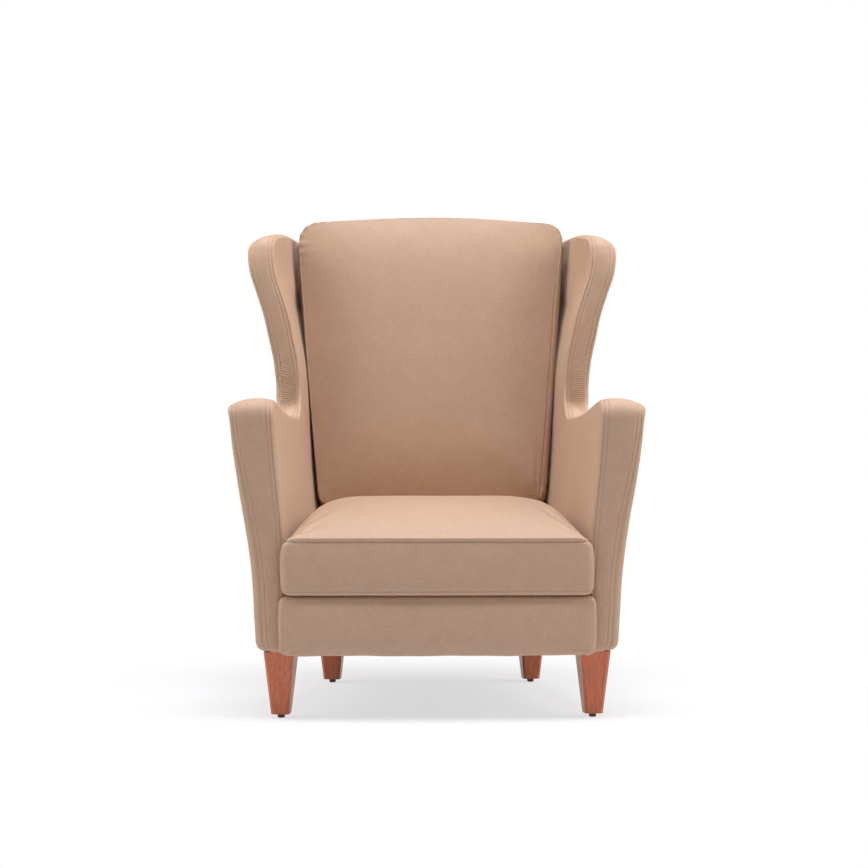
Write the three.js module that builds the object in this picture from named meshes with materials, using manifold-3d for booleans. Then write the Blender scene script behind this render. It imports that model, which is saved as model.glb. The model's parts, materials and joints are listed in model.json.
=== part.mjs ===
// Fireside wing chair: a beech seat, arm and back frame on four tapered legs, padded and
// covered in a fine napped cloth, with a loose seat cushion and a loose back cushion.
// Millimetres, +Z up, the front of the chair looks along -Y. Left is -X, as seen from the front.
import * as THREE from 'three';
import { mergeVertices } from 'three/addons/utils/BufferGeometryUtils.js';
import Module from 'manifold-3d';

const wasm = await Module();
wasm.setup();

// Driving dimensions of the legs
const legTopWidth = 62;
const legFootWidth = 36;
const legChamfer = 5;
const glideHeight = 8;
const glideWidth = 15;
const frontLegInset = 23;
const rearLegInset = 19.25;
const rearLegSetback = 22.1;
const legTurn = THREE.MathUtils.degToRad(8);

// Driving dimensions of the padded sides: their fronts stand flush with the turned front legs,
// and the nose of the seat cushion laps a little over their inner edges.
const legReach = legTopWidth / 2 * Math.cos(legTurn) + (legTopWidth / 2 - legChamfer) * Math.sin(legTurn);
const sideFrontY = -legReach;
const sideBottomZ = 134;
const armRootZ = 597;
const armNoseRise = 40;
const backTopZ = 1000;
const seatCushionFrontHalf = 295;
const noseLap = 6;
const armThickness = 73;
const armInnerHalf = seatCushionFrontHalf - noseLap;
const armOuterHalf = armInnerHalf + armThickness;
const armOuterFlare = 44;
const armInnerFlare = 33;
const wingOuterFlare = 71;
const wingInnerFlare = 67;
const outerTaper = 0.17;
const innerTaper = 0.085;
const wingFrontY = 375;
const wingSetback = 66;

// Driving dimensions of the seat and the leaning back
const seatTilt = THREE.MathUtils.degToRad(1.7);
const backLean = THREE.MathUtils.degToRad(11);
const seatLineY = -62;
const seatLineZ = 248;
const backLineY = 549;
const backLineZ = 230;
const backDepth = 68;
const outsideBackWall = 8;

// Driving dimensions of the cushions
const seatCushionFrontY = -64;
const seatCushionRearGap = 4;
const seatCushionSideGap = 4.5;
const seatBorder = 116;
const seatCrown = 75;
const backCushionRestGap = 2;
const backCushionBottomGap = 2.2;
const backCushionTopGap = 29.6;
const backCushionOverTop = 28;
const backBorder = 84;
const backCrown = 28;

// Timber sections and small clearances
const gap = 0.3;
const overrun = 5;
const railThickness = 28;
const cutGrow = 0.4;
const roundSides = 12;

// Finishes
const cloth = new THREE.MeshStandardMaterial({ color: 0xb99a7c, roughness: 0.9, metalness: 0 });
const stainedWood = new THREE.MeshStandardMaterial({ color: 0x8f4426, roughness: 0.4, metalness: 0 });
const beech = new THREE.MeshStandardMaterial({ color: 0xd8b98a, roughness: 0.7, metalness: 0 });
const steel = new THREE.MeshStandardMaterial({ color: 0x9a9c9e, roughness: 0.35, metalness: 1 });
const foam = new THREE.MeshStandardMaterial({ color: 0xe6dcc0, roughness: 0.95, metalness: 0 });
const webbing = new THREE.MeshStandardMaterial({ color: 0x3a3532, roughness: 0.85, metalness: 0 });
const darkPlastic = new THREE.MeshStandardMaterial({ color: 0x35221a, roughness: 0.5, metalness: 0 });

// The value at a place in a table of [place, value] rows, straight between the rows.
function along(table, place) {
  const last = table.length - 1;
  if (place <= table[0][0]) return table[0][1];
  if (place >= table[last][0]) return table[last][1];
  const next = table.findIndex((row) => row[0] > place);
  const [lowPlace, lowValue] = table[next - 1];
  const [highPlace, highValue] = table[next];
  return THREE.MathUtils.mapLinear(place, lowPlace, highPlace, lowValue, highValue);
}

// How the flare of the arm and of the wing grows with height, as shares of the whole.
const armFlareShares = [[0, 0], [0.14, 0.07], [0.36, 0.2], [0.53, 0.41], [0.73, 0.7], [0.9, 0.91], [1, 1]];
const wingFlareShares = [[0, 0], [0.18, 0.07], [0.3, 0.155], [0.42, 0.3], [0.54, 0.45], [0.67, 0.69],
  [0.78, 0.9], [0.92, 1], [1, 1]];

function flares(z) {
  return {
    arm: along(armFlareShares, (z - sideBottomZ) / (armRootZ - sideBottomZ)),
    wing: along(wingFlareShares, (z - armRootZ) / (backTopZ - armRootZ)),
  };
}

// Half widths of the chair to the outer and the inner face of a padded side.
function outerX(y, z) {
  const { arm, wing } = flares(z);
  return armOuterHalf + armOuterFlare * arm + wingOuterFlare * wing - outerTaper * y;
}

function innerX(y, z) {
  const { arm, wing } = flares(z);
  return armInnerHalf + armInnerFlare * arm + wingInnerFlare * wing - innerTaper * y;
}

function midX(y, z) {
  return (outerX(y, z) + innerX(y, z)) / 2;
}

// A place in the leaning back: depth is measured square to its front face, rise along it.
function backPlace(depth, rise) {
  return {
    y: backLineY + depth * Math.cos(backLean) + rise * Math.sin(backLean),
    z: backLineZ - depth * Math.sin(backLean) + rise * Math.cos(backLean),
  };
}

// The Y of the plane that lies a depth behind the front of the leaning back, at height z.
function backPlaneY(depth, z) {
  const lift = z - backLineZ;
  return backLineY + depth / Math.cos(backLean) + lift * Math.tan(backLean);
}

// The rise along the back that reaches height z at a depth.
function backRise(depth, z) {
  return (z - backLineZ + depth * Math.sin(backLean)) / Math.cos(backLean);
}

// The height of the sloping seat line at a depth from the front.
function seatLineAt(y) {
  return seatLineZ - (y - seatLineY) * Math.tan(seatTilt);
}

// Shape helpers
function signedVolume(points, faces) {
  let sum = 0;
  for (const [a, b, c] of faces) {
    sum += points[a].dot(new THREE.Vector3().crossVectors(points[b], points[c]));
  }
  return sum;
}

function closedGeometry(points, faces) {
  const outward = signedVolume(points, faces) > 0;
  const geometry = new THREE.BufferGeometry();
  geometry.setAttribute('position', new THREE.Float32BufferAttribute(points.flatMap((p) => p.toArray()), 3));
  geometry.setIndex(faces.flatMap(([a, b, c]) => (outward ? [a, b, c] : [a, c, b])));
  return geometry;
}

// A closed body through rings of as many points each, with a fan over each end ring.
function loft(rings) {
  const count = rings[0].length;
  const points = rings.flat().map((p) => p.clone());
  const faces = [];
  for (let ring = 0; ring + 1 < rings.length; ring += 1) {
    for (let i = 0; i < count; i += 1) {
      const next = (i + 1) % count;
      const low = ring * count;
      const high = low + count;
      faces.push([low + i, low + next, high + next], [low + i, high + next, high + i]);
    }
  }
  for (const [ring, atStart] of [[0, true], [rings.length - 1, false]]) {
    const hub = points.length;
    const centre = new THREE.Vector3();
    for (const p of rings[ring]) centre.addScaledVector(p, 1 / count);
    points.push(centre);
    for (let i = 0; i < count; i += 1) {
      const here = ring * count + i;
      const next = ring * count + ((i + 1) % count);
      faces.push(atStart ? [hub, next, here] : [hub, here, next]);
    }
  }
  return closedGeometry(points, faces);
}

const weldDistance = 0.0005;

// The bare closed surface, with the points that its faces share merged.
function welded(geometry) {
  const bare = geometry.clone();
  bare.deleteAttribute('normal');
  bare.deleteAttribute('uv');
  return mergeVertices(bare.index ? bare.toNonIndexed() : bare, weldDistance);
}

function toSolid(geometry) {
  const merged = welded(geometry);
  return new wasm.Manifold(new wasm.Mesh({
    numProp: 3,
    vertProperties: new Float32Array(merged.attributes.position.array),
    triVerts: new Uint32Array(merged.index.array),
  }));
}

function toGeometry(solid) {
  const mesh = solid.getMesh();
  const geometry = new THREE.BufferGeometry();
  geometry.setAttribute('position', new THREE.BufferAttribute(mesh.vertProperties, 3));
  geometry.setIndex(new THREE.BufferAttribute(mesh.triVerts, 1));
  return geometry;
}

function cutBy(geometry, cutters) {
  let solid = toSolid(geometry);
  for (const cutter of cutters) solid = solid.subtract(toSolid(cutter));
  return toGeometry(solid);
}

function joined(first, second) {
  return toGeometry(toSolid(first).add(toSolid(second)));
}

// The same body on the other side of the chair.
function mirrored(geometry) {
  const twin = welded(geometry).applyMatrix4(new THREE.Matrix4().makeScale(-1, 1, 1));
  const order = twin.index.array;
  for (let i = 0; i < order.length; i += 3) {
    [order[i + 1], order[i + 2]] = [order[i + 2], order[i + 1]];
  }
  return twin;
}

function block(low, high) {
  const size = new THREE.Vector3().subVectors(high, low);
  const geometry = new THREE.BoxGeometry(size.x, size.y, size.z);
  const centre = new THREE.Vector3().addVectors(low, high).multiplyScalar(0.5);
  return geometry.translate(centre.x, centre.y, centre.z);
}

// A straight timber between two points: its width lies level, its height square to both.
function bar(from, to, width, height, grow = 0) {
  const run = new THREE.Vector3().subVectors(to, from);
  const length = run.length();
  const ahead = run.normalize();
  const across = new THREE.Vector3().crossVectors(ahead, new THREE.Vector3(0, 0, 1)).normalize();
  const upward = new THREE.Vector3().crossVectors(across, ahead);
  const centre = new THREE.Vector3().addVectors(from, to).multiplyScalar(0.5);
  const frame = new THREE.Matrix4().makeBasis(across, ahead, upward).setPosition(centre);
  return new THREE.BoxGeometry(width + 2 * grow, length + 2 * grow, height + 2 * grow).applyMatrix4(frame);
}

// A flat plate cut to an outline in plan and raised from one height to another.
function plate(outline, lowZ, highZ) {
  const shape = new THREE.Shape(outline.map(([x, y]) => new THREE.Vector2(x, y)));
  return new THREE.ExtrudeGeometry(shape, { depth: highZ - lowZ, bevelEnabled: false }).translate(0, 0, lowZ);
}

// A corner of an outline, its radius, and how far the side that leaves it bows out.
function corner(x, y, radius, bow) {
  return { at: new THREE.Vector2(x, y), radius, bow };
}

// A closed outline with rounded corners; every side bows out by its own amount.
function roundedOutline(corners, cornerSteps, sideSteps) {
  const points = [];
  const count = corners.length;
  for (let i = 0; i < count; i += 1) {
    const { at, radius } = corners[i];
    const before = corners[(i + count - 1) % count].at;
    const after = corners[(i + 1) % count];
    const toBefore = new THREE.Vector2().subVectors(before, at).normalize();
    const toAfter = new THREE.Vector2().subVectors(after.at, at).normalize();
    const start = at.clone().addScaledVector(toBefore, radius);
    const end = at.clone().addScaledVector(toAfter, radius);
    points.push(...new THREE.QuadraticBezierCurve(start, at, end).getPoints(cornerSteps));
    const finish = after.at.clone().addScaledVector(toAfter, -after.radius);
    const outward = new THREE.Vector2(toAfter.y, -toAfter.x);
    for (let step = 1; step < sideSteps; step += 1) {
      const share = step / sideSteps;
      const point = end.clone().lerp(finish, share);
      points.push(point.addScaledVector(outward, corners[i].bow * Math.sin(Math.PI * share)));
    }
  }
  return points;
}

// The outline moved inwards, square to itself.
function drawnIn(outline, inset) {
  const count = outline.length;
  return outline.map((point, i) => {
    const before = outline[(i + count - 1) % count];
    const after = outline[(i + 1) % count];
    const side = new THREE.Vector2().subVectors(after, before).normalize();
    return point.clone().add(new THREE.Vector2(-side.y, side.x).multiplyScalar(inset));
  });
}

// The outline shrunk towards its middle, or towards a place that lies a shift above it.
function shrunk(outline, share, shift = 0) {
  const centre = new THREE.Vector2(0, shift);
  for (const point of outline) centre.addScaledVector(point, 1 / outline.length);
  return outline.map((point) => point.clone().sub(centre).multiplyScalar(share).add(centre));
}

function level(outline, height) {
  return outline.map((point) => new THREE.Vector3(point.x, point.y, height));
}

// How a crowned panel shrinks from its seam to its middle.
const crownShares = [0.985, 0.95, 0.89, 0.8, 0.66, 0.45, 0.22];
const cushionCornerSteps = 4;
const cushionSideSteps = 7;
const borderRoll = 9;
const seamGroove = 2.5;
const seamInset = 1;

// A boxed cushion standing on its flat panel: the rolled lower edge, the border with a seam
// drawn in at top and bottom and a belly between, then the crowned panel.
function boxedCushion(outline, { border, crown, power, belly, draw, shift }) {
  const lowSeam = borderRoll;
  const highSeam = border - borderRoll;
  const rings = [
    level(drawnIn(outline, draw + borderRoll), 0),
    level(drawnIn(outline, draw + borderRoll / 3), lowSeam / 3),
    level(drawnIn(outline, draw + seamGroove), lowSeam),
    level(drawnIn(outline, draw), lowSeam + borderRoll),
    level(drawnIn(outline, draw / 2 - belly), border / 2),
    level(drawnIn(outline, 0), highSeam - borderRoll),
    level(drawnIn(outline, seamGroove), highSeam),
    level(drawnIn(outline, seamInset), border),
  ];
  for (const share of crownShares) {
    const height = border + crown * (1 - share ** power);
    rings.push(level(shrunk(drawnIn(outline, seamInset), share, shift), height));
  }
  return loft(rings);
}

// The filling of a boxed cushion, a plainer body that lies a wall inside its cover.
function cushionFilling(outline, { border, crown, draw, shift }, wall, grow) {
  const inset = wall + borderRoll - grow;
  const plan = outline.filter((_, i) => i % 2 === 0);
  return loft([
    level(drawnIn(plan, draw + inset), wall - grow),
    level(drawnIn(plan, draw / 2 + inset), border / 2),
    level(drawnIn(plan, inset), border - wall),
    level(shrunk(drawnIn(plan, inset), fillingMidShare, shift), border + crown * fillingMidShare / 2 + grow),
    level(shrunk(drawnIn(plan, inset), fillingTopShare, shift), border + crown * fillingMidShare - wall + grow),
  ]);
}

const fillingMidShare = 0.8;
const fillingTopShare = 0.4;

// The scene
const chair = new THREE.Group();
const seatGroup = new THREE.Group();
const backGroup = new THREE.Group();
seatGroup.position.set(0, seatLineY, seatLineZ);
seatGroup.rotation.x = -seatTilt;
backGroup.position.set(0, backLineY, backLineZ);
backGroup.rotation.x = -backLean;
chair.add(seatGroup, backGroup);

function add(parent, name, geometry, material) {
  const mesh = new THREE.Mesh(geometry, material);
  mesh.name = name;
  parent.add(mesh);
  return mesh;
}

function addPair(parent, name, geometry, material) {
  add(parent, `right_${name}`, geometry, material);
  add(parent, `left_${name}`, mirrored(geometry), material);
}

// Seat cushion: a crowned box cushion with rounded corners, tapering to the rear
const seatCushionRearY = backLineY - seatCushionRearGap;
const seatCushionRearHalf = innerX(seatCushionRearY, seatLineAt(seatCushionRearY)) - seatCushionSideGap;
const seatFrontRadius = 26;
const seatRearRadius = 34;
const seatFrontBow = 2;
const seatSideBow = -2;
const seatOutlineFrontY = seatCushionFrontY - seatLineY;
const seatOutlineRearY = seatCushionRearY - seatLineY;
const seatOutline = roundedOutline([
  corner(-seatCushionFrontHalf, seatOutlineFrontY, seatFrontRadius, seatFrontBow),
  corner(seatCushionFrontHalf, seatOutlineFrontY, seatFrontRadius, seatSideBow),
  corner(seatCushionRearHalf, seatOutlineRearY, seatRearRadius, 0),
  corner(-seatCushionRearHalf, seatOutlineRearY, seatRearRadius, seatSideBow),
], cushionCornerSteps, cushionSideSteps);
const seatCrownShift = 110;
const seatCrownPower = 4.5;
const borderBelly = 1.5;
const seatForm = {
  border: seatBorder,
  crown: seatCrown,
  power: seatCrownPower,
  belly: borderBelly,
  draw: 0,
  shift: seatCrownShift,
};

// The height of the crowned seat cushion at a depth behind the middle of its crown.
function seatCushionTopZ(y) {
  const middle = seatLineY + seatCrownShift + seatOutline.reduce((sum, p) => sum + p.y / seatOutline.length, 0);
  const share = (y - middle) / (seatCushionRearY - middle);
  return seatLineAt(y) + seatBorder + seatCrown * (1 - Math.abs(share) ** seatCrownPower);
}

// Back cushion: the same make, standing on its lower border with its crowned panel forward.
// The lower edge of that panel rests on the crown of the seat cushion.
const backHeadRise = backRise(0, backTopZ);
const settleSteps = 8;

function restingRise(depth, droop) {
  let rise = 0;
  for (let step = 0; step < settleSteps; step += 1) {
    const { y } = backPlace(depth, rise - droop);
    rise = backRise(depth, seatCushionTopZ(y) + backCushionRestGap) + droop;
  }
  return rise;
}

const backBottomRadius = 26;
const backTopRadius = 30;
const backBottomBow = 3;
const backTopBow = 9;
const backSideBow = 2;
const backDraw = 8;
const backCushionFootRise = restingRise(-backBorder, backBottomBow - seamInset);
const backCushionHeight = backHeadRise + backCushionOverTop - backCushionFootRise;
const backCushionFoot = backPlace(0, backCushionFootRise);
const backCushionBottomHalf = innerX(backCushionFoot.y, backCushionFoot.z) - backCushionBottomGap;
const backCushionTopHalf = innerX(backPlaneY(0, backTopZ), backTopZ) - backCushionTopGap;
const backOutline = roundedOutline([
  corner(-backCushionBottomHalf, 0, backBottomRadius, backBottomBow),
  corner(backCushionBottomHalf, 0, backBottomRadius, backSideBow),
  corner(backCushionTopHalf, backCushionHeight, backTopRadius, backTopBow),
  corner(-backCushionTopHalf, backCushionHeight, backTopRadius, backSideBow),
], cushionCornerSteps, cushionSideSteps);
const backCrownPower = 3;
const backForm = {
  border: backBorder,
  crown: backCrown,
  power: backCrownPower,
  belly: borderBelly,
  draw: backDraw,
  shift: 0,
};

// Each cushion is a cover, a filling and a zip strip that closes the slit in the border.
const coverWall = 4;
const zipHalfLength = 160;
const zipWidth = 9;
const zipDepth = 24;
const zipInset = 2;

function zipBlock(border, fromY, toY, grow) {
  const middle = border / 2;
  return block(
    new THREE.Vector3(-zipHalfLength - grow, Math.min(fromY, toY), middle - zipWidth / 2 - grow),
    new THREE.Vector3(zipHalfLength + grow, Math.max(fromY, toY), middle + zipWidth / 2 + grow),
  );
}

function fittedCushion(outline, form, edgeY, inwards) {
  const outerY = edgeY + inwards * zipInset;
  const innerY = outerY + inwards * zipDepth;
  const slit = zipBlock(form.border, edgeY - inwards * overrun, innerY + inwards * gap, gap);
  return {
    cover: cutBy(boxedCushion(outline, form), [cushionFilling(outline, form, coverWall, 0), slit]),
    filling: cutBy(cushionFilling(outline, form, coverWall, -gap), [slit]),
    strip: zipBlock(form.border, outerY, innerY, 0),
  };
}

const seatParts = fittedCushion(seatOutline, seatForm, seatOutlineRearY, -1);
for (const [name, geometry, material] of [
  ['seat_cushion_cover', seatParts.cover, cloth],
  ['seat_cushion_core', seatParts.filling, foam],
  ['seat_cushion_zip', seatParts.strip, darkPlastic],
]) add(seatGroup, name, geometry, material).position.z = gap;

const backParts = fittedCushion(backOutline, backForm, 0, 1);
for (const [name, geometry, material] of [
  ['back_cushion_cover', backParts.cover, cloth],
  ['back_cushion_core', backParts.filling, foam],
  ['back_cushion_zip', backParts.strip, darkPlastic],
]) {
  const mesh = add(backGroup, name, geometry, material);
  mesh.rotation.x = Math.PI / 2;
  mesh.position.set(0, -gap, backCushionFootRise);
}

// Seat frame: front, rear and side rails with a block glued into each corner
const backPostThickness = 27;
const backPostRearInset = 2;
const backPostFootGap = 6.8;
const backPostRear = backDepth - backPostRearInset;
const backPostFront = backPostRear - backPostThickness;
const backFrameFootRise = backRise(backPostRear, sideBottomZ + backPostFootGap);
const deckThickness = 18;
const wireRadius = 1.8;
const springDrop = deckThickness + wireRadius * 2 + gap * 2;
const postGap = 0.5;
const frontRailTop = seatLineAt(railThickness) - springDrop;
const rearRailThickness = 35;
const rearRailRearY = backPlace(backPostFront, backFrameFootRise).y - gap;
const rearRailFrontY = rearRailRearY - rearRailThickness;
const rearRailTop = seatLineAt(rearRailRearY) - springDrop;
const sideRailWidth = 24;
const sideRailInset = 1;
const blockReach = 62;
const blockLift = 16;
const blockHeight = 40;
const postWidth = 34;
const postDepth = 52;
const postFootInset = 28;
const postHeadInset = 30;
const postHeadDrop = 7;
const postFootX = armInnerHalf + postFootInset;
const postHeadX = armInnerHalf + armInnerFlare + postHeadInset;
const postHeadZ = armRootZ - postHeadDrop;
const boltRadius = 4;
const boltPlay = 0.4;
const boltInLeg = 34;
const boltInFrame = 42;
const frontLegX = armInnerHalf + frontLegInset;
const rearLegY = rearRailRearY - rearLegSetback;
const rearLegX = innerX(rearLegY, sideBottomZ) - rearLegInset;

function armPost(grow) {
  const row = (x, z, sides) => sides.map(([sx, sy]) => new THREE.Vector3(
    x + sx * (postWidth / 2 + grow),
    sy * (postDepth / 2 + grow),
    z,
  ));
  const sides = [[-1, -1], [1, -1], [1, 1], [-1, 1]];
  const foot = sideBottomZ - (grow > 0 ? overrun : 0);
  return loft([row(postFootX, foot, sides), row(postHeadX, postHeadZ + grow, sides)]);
}

function boltHole(x, y, grow) {
  const radius = boltRadius + (grow ? boltPlay : 0);
  const low = sideBottomZ - boltInLeg - grow;
  const high = sideBottomZ + boltInFrame + grow;
  return new THREE.CylinderGeometry(radius, radius, high - low, roundSides)
    .rotateX(Math.PI / 2).translate(x, y, (low + high) / 2);
}

const frontRailHalf = postFootX - postWidth / 2 - postGap;
const frontRail = (grow) => block(
  new THREE.Vector3(-frontRailHalf - grow, -grow, sideBottomZ - (grow ? overrun : 0)),
  new THREE.Vector3(frontRailHalf + grow, railThickness + grow, frontRailTop + grow),
);
add(chair, 'front_seat_rail', frontRail(0), beech);

const rearRailHalf = innerX(rearRailRearY, sideBottomZ) - postGap;
const rearRail = cutBy(block(
  new THREE.Vector3(-rearRailHalf, rearRailFrontY, sideBottomZ),
  new THREE.Vector3(rearRailHalf, rearRailRearY, rearRailTop),
), [boltHole(rearLegX, rearLegY, gap), boltHole(-rearLegX, rearLegY, gap)]);
add(chair, 'rear_seat_rail', rearRail, beech);

const railFrontY = railThickness + gap;
const railRearY = rearRailFrontY - gap;
const railOuterAt = (y) => innerX(y, sideBottomZ) - sideRailInset;
const railInnerAt = (y) => railOuterAt(y) - sideRailWidth;
addPair(chair, 'side_seat_rail', plate([
  [railOuterAt(railFrontY), railFrontY],
  [railOuterAt(railRearY), railRearY],
  [railInnerAt(railRearY), railRearY],
  [railInnerAt(railFrontY), railFrontY],
], sideBottomZ, rearRailTop), beech);

for (const [name, cornerY, inwards] of [
  ['front_corner_block', railFrontY + gap, 1],
  ['rear_corner_block', railRearY - gap, -1],
]) {
  const farY = cornerY + inwards * blockReach;
  addPair(chair, name, plate([
    [railInnerAt(cornerY) - gap, cornerY],
    [railInnerAt(farY) - gap, farY],
    [railInnerAt(cornerY) - gap - blockReach, cornerY],
  ], sideBottomZ + blockLift, sideBottomZ + blockLift + blockHeight), beech);
}

// Arm and wing frame
const armRailWidth = 18;
const armRailHeight = 34;
const railRearInset = 1;
const armRailDrop = 37;
const armRailRearDepth = backPostFront - railRearInset;
const armRailZ = armRootZ - armRailDrop;
const armRailFront = new THREE.Vector3(postHeadX, postDepth / 2 + gap, armRailZ);
const armRailEndY = backPlaneY(armRailRearDepth, armRailZ);
const armRailRear = new THREE.Vector3(midX(armRailEndY, armRailZ), armRailEndY, armRailZ);
const armRail = (grow) => bar(armRailFront, armRailRear, armRailWidth, armRailHeight, grow);

const wingPostWidth = 20;
const wingPostDepth = 30;
const wingPostSetback = 43;
const wingPostY = wingFrontY + wingSetback + wingPostSetback;
const wingPostFootZ = armRailZ + armRailHeight / 2 + gap;
const wingPostHeightShares = [0, 0.35, 0.53, 0.71, 0.87];
const wingHeight = backTopZ - armRootZ;

function wingPost(grow) {
  const last = wingPostHeightShares.length - 1;
  return loft(wingPostHeightShares.map((share, i) => {
    const z = THREE.MathUtils.lerp(wingPostFootZ, backTopZ, share);
    const centre = midX(wingPostY, z);
    const end = (i === 0 ? -grow : 0) + (i === last ? grow : 0);
    return [[-1, -1], [1, -1], [1, 1], [-1, 1]].map(([sx, sy]) => new THREE.Vector3(
      centre + sx * (wingPostWidth / 2 + grow),
      wingPostY + sy * (wingPostDepth / 2 + grow),
      z + end,
    ));
  }));
}

const wingRailThickness = 13;
const wingRailHeight = 26;
const wingRailDrop = 52;
const wingRailZ = backTopZ - wingRailDrop;
const wingRailFrontY = wingPostY + wingPostDepth / 2 + gap + cutGrow;
const wingRailRearY = backPlaneY(armRailRearDepth, wingRailZ);
const wingRail = (grow) => bar(
  new THREE.Vector3(midX(wingRailFrontY, wingRailZ), wingRailFrontY, wingRailZ),
  new THREE.Vector3(midX(wingRailRearY, wingRailZ), wingRailRearY, wingRailZ),
  wingRailThickness,
  wingRailHeight,
  grow,
);

// Back frame: two posts sawn to the sweep of the sides, joined by rails and strung with webs
const backPostWidth = 34;
const backPostInset = 1;
const topRailPadding = 18.4;
const backFrameHeadRise = backHeadRise - topRailPadding;
const backPostRiseShares = [0, 0.25, 0.48, 0.62, 0.73, 0.85, 0.93, 1];
const backRiseAtShare = (share) => THREE.MathUtils.lerp(backFrameFootRise, backFrameHeadRise, share);

function backPostOuter(rise) {
  const rear = backPlace(backPostRear, rise);
  const front = backPlace(backPostFront, rise);
  return Math.min(innerX(rear.y, rear.z), innerX(rear.y, front.z)) - backPostInset;
}

const backPostTable = backPostRiseShares.map((share) => {
  const rise = backRiseAtShare(share);
  return [rise, backPostOuter(rise)];
});

function backPost(grow) {
  const last = backPostTable.length - 1;
  return loft(backPostTable.map(([rise, outer], i) => {
    const end = (i === 0 ? -grow : 0) + (i === last ? grow : 0);
    const corners = [
      [outer - backPostWidth - grow, backPostFront - grow],
      [outer + grow, backPostFront - grow],
      [outer + grow, backPostRear + grow],
      [outer - backPostWidth - grow, backPostRear + grow],
    ];
    return corners.map(([x, depth]) => {
      const { y, z } = backPlace(depth, rise + end);
      return new THREE.Vector3(x, y, z);
    });
  }));
}

addPair(chair, 'arm_post', cutBy(armPost(0), [boltHole(frontLegX, 0, gap)]), beech);
addPair(chair, 'arm_rail', cutBy(armRail(0), [armPost(gap), backPost(gap)]), beech);
addPair(chair, 'wing_post', wingPost(0), beech);
addPair(chair, 'wing_rail', cutBy(wingRail(0), [wingPost(gap), backPost(gap)]), beech);
addPair(chair, 'back_post', backPost(0), beech);

function backRailBetween(lowRise, highRise) {
  const half = (rise) => along(backPostTable, rise) - backPostWidth - gap;
  const reach = Math.min(half(lowRise), half(highRise));
  return block(
    new THREE.Vector3(-reach, backPostFront, lowRise),
    new THREE.Vector3(reach, backPostRear, highRise),
  );
}

const topRailHeight = 62;
const lowerRailRise = 60;
const lowerRailHeight = 50;
add(backGroup, 'back_top_rail', backRailBetween(backFrameHeadRise - topRailHeight, backFrameHeadRise), beech);
add(backGroup, 'back_lower_rail', backRailBetween(lowerRailRise, lowerRailRise + lowerRailHeight), beech);

const webWall = 1.6;
const webWidth = 60;
const webNames = ['lower', 'middle', 'upper'];
const webRiseShares = [0.33, 0.55, 0.8];
for (const [i, name] of webNames.entries()) {
  const rise = backRiseAtShare(webRiseShares[i]);
  const reach = along(backPostTable, rise) - backPostWidth / 3;
  add(backGroup, `${name}_back_web`, block(
    new THREE.Vector3(-reach, backPostFront - gap - webWall, rise),
    new THREE.Vector3(reach, backPostFront - gap, rise + webWidth),
  ), webbing);
}

// Seat suspension: zigzag springs strung front to rear over the rails
const wireSides = 5;
const wireSteps = 44;
const springZigzags = 9;
const springAmplitude = 22;
const springCount = 4;
const springPitch = 112;
const springFrontY = 8;
const springRearInset = 12;
const springRearY = rearRailRearY - springRearInset;
const springLevel = -deckThickness - gap - wireRadius;

function zigzagSpring(x) {
  const front = springFrontY - seatLineY;
  const rear = springRearY - seatLineY;
  const count = springZigzags * 2;
  const points = [new THREE.Vector3(x, front, springLevel)];
  for (let i = 1; i < count; i += 1) {
    const side = i % 2 === 0 ? 1 : -1;
    const place = THREE.MathUtils.lerp(front, rear, i / count);
    points.push(new THREE.Vector3(x + side * springAmplitude, place, springLevel));
  }
  points.push(new THREE.Vector3(x, rear, springLevel));
  const circle = new THREE.EllipseCurve(0, 0, wireRadius, wireRadius).getPoints(wireSides).slice(1);
  const extrudePath = new THREE.CatmullRomCurve3(points);
  return new THREE.ExtrudeGeometry(new THREE.Shape(circle), { steps: wireSteps, extrudePath });
}

for (let i = 0; i < springCount; i += 1) {
  add(seatGroup, `seat_spring_${i + 1}`, zigzagSpring((i - (springCount - 1) / 2) * springPitch), steel);
}

// Seat deck: the padded platform over the springs, from the front rail to the inside back
const deckRearGap = 3;
const deckRearY = backLineY - deckRearGap;
const deckSideGap = 1.5;
const deckHalfAt = (y) => innerX(y, seatLineAt(y) - deckThickness) - deckSideGap;
const seatY = (y) => y - seatLineY;
add(seatGroup, 'seat_deck', plate([
  [-deckHalfAt(gap), seatY(gap)],
  [deckHalfAt(gap), seatY(gap)],
  [deckHalfAt(deckRearY), seatY(deckRearY)],
  [-deckHalfAt(deckRearY), seatY(deckRearY)],
], -deckThickness, 0), cloth);

// Dust cover: a cloth sheet stapled under the seat rails, notched round the legs
const dustTopZ = sideBottomZ - gap;
const dustWall = 1.2;
const dustSideInset = 4;
const legClear = 4;
const dustFrontY = legTopWidth / 2 + legClear * 2;
const dustRearY = rearLegY - legTopWidth / 2 - legClear * 2;
const dustHalfAt = (y) => railOuterAt(y) - dustSideInset;
const dustRearHalf = rearLegX - legTopWidth / 2 - legClear * 2;
const dustFrontHalf = frontLegX - legTopWidth / 2 - legClear * 2;
add(chair, 'dust_cover', plate([
  [-dustHalfAt(dustFrontY), dustFrontY],
  [-dustFrontHalf, dustFrontY],
  [-dustFrontHalf, legClear],
  [dustFrontHalf, legClear],
  [dustFrontHalf, dustFrontY],
  [dustHalfAt(dustFrontY), dustFrontY],
  [dustHalfAt(dustRearY), dustRearY],
  [dustRearHalf, dustRearY],
  [dustRearHalf, rearRailRearY],
  [-dustRearHalf, rearRailRearY],
  [-dustRearHalf, dustRearY],
  [-dustHalfAt(dustRearY), dustRearY],
], dustTopZ - dustWall, dustTopZ), webbing);

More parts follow.
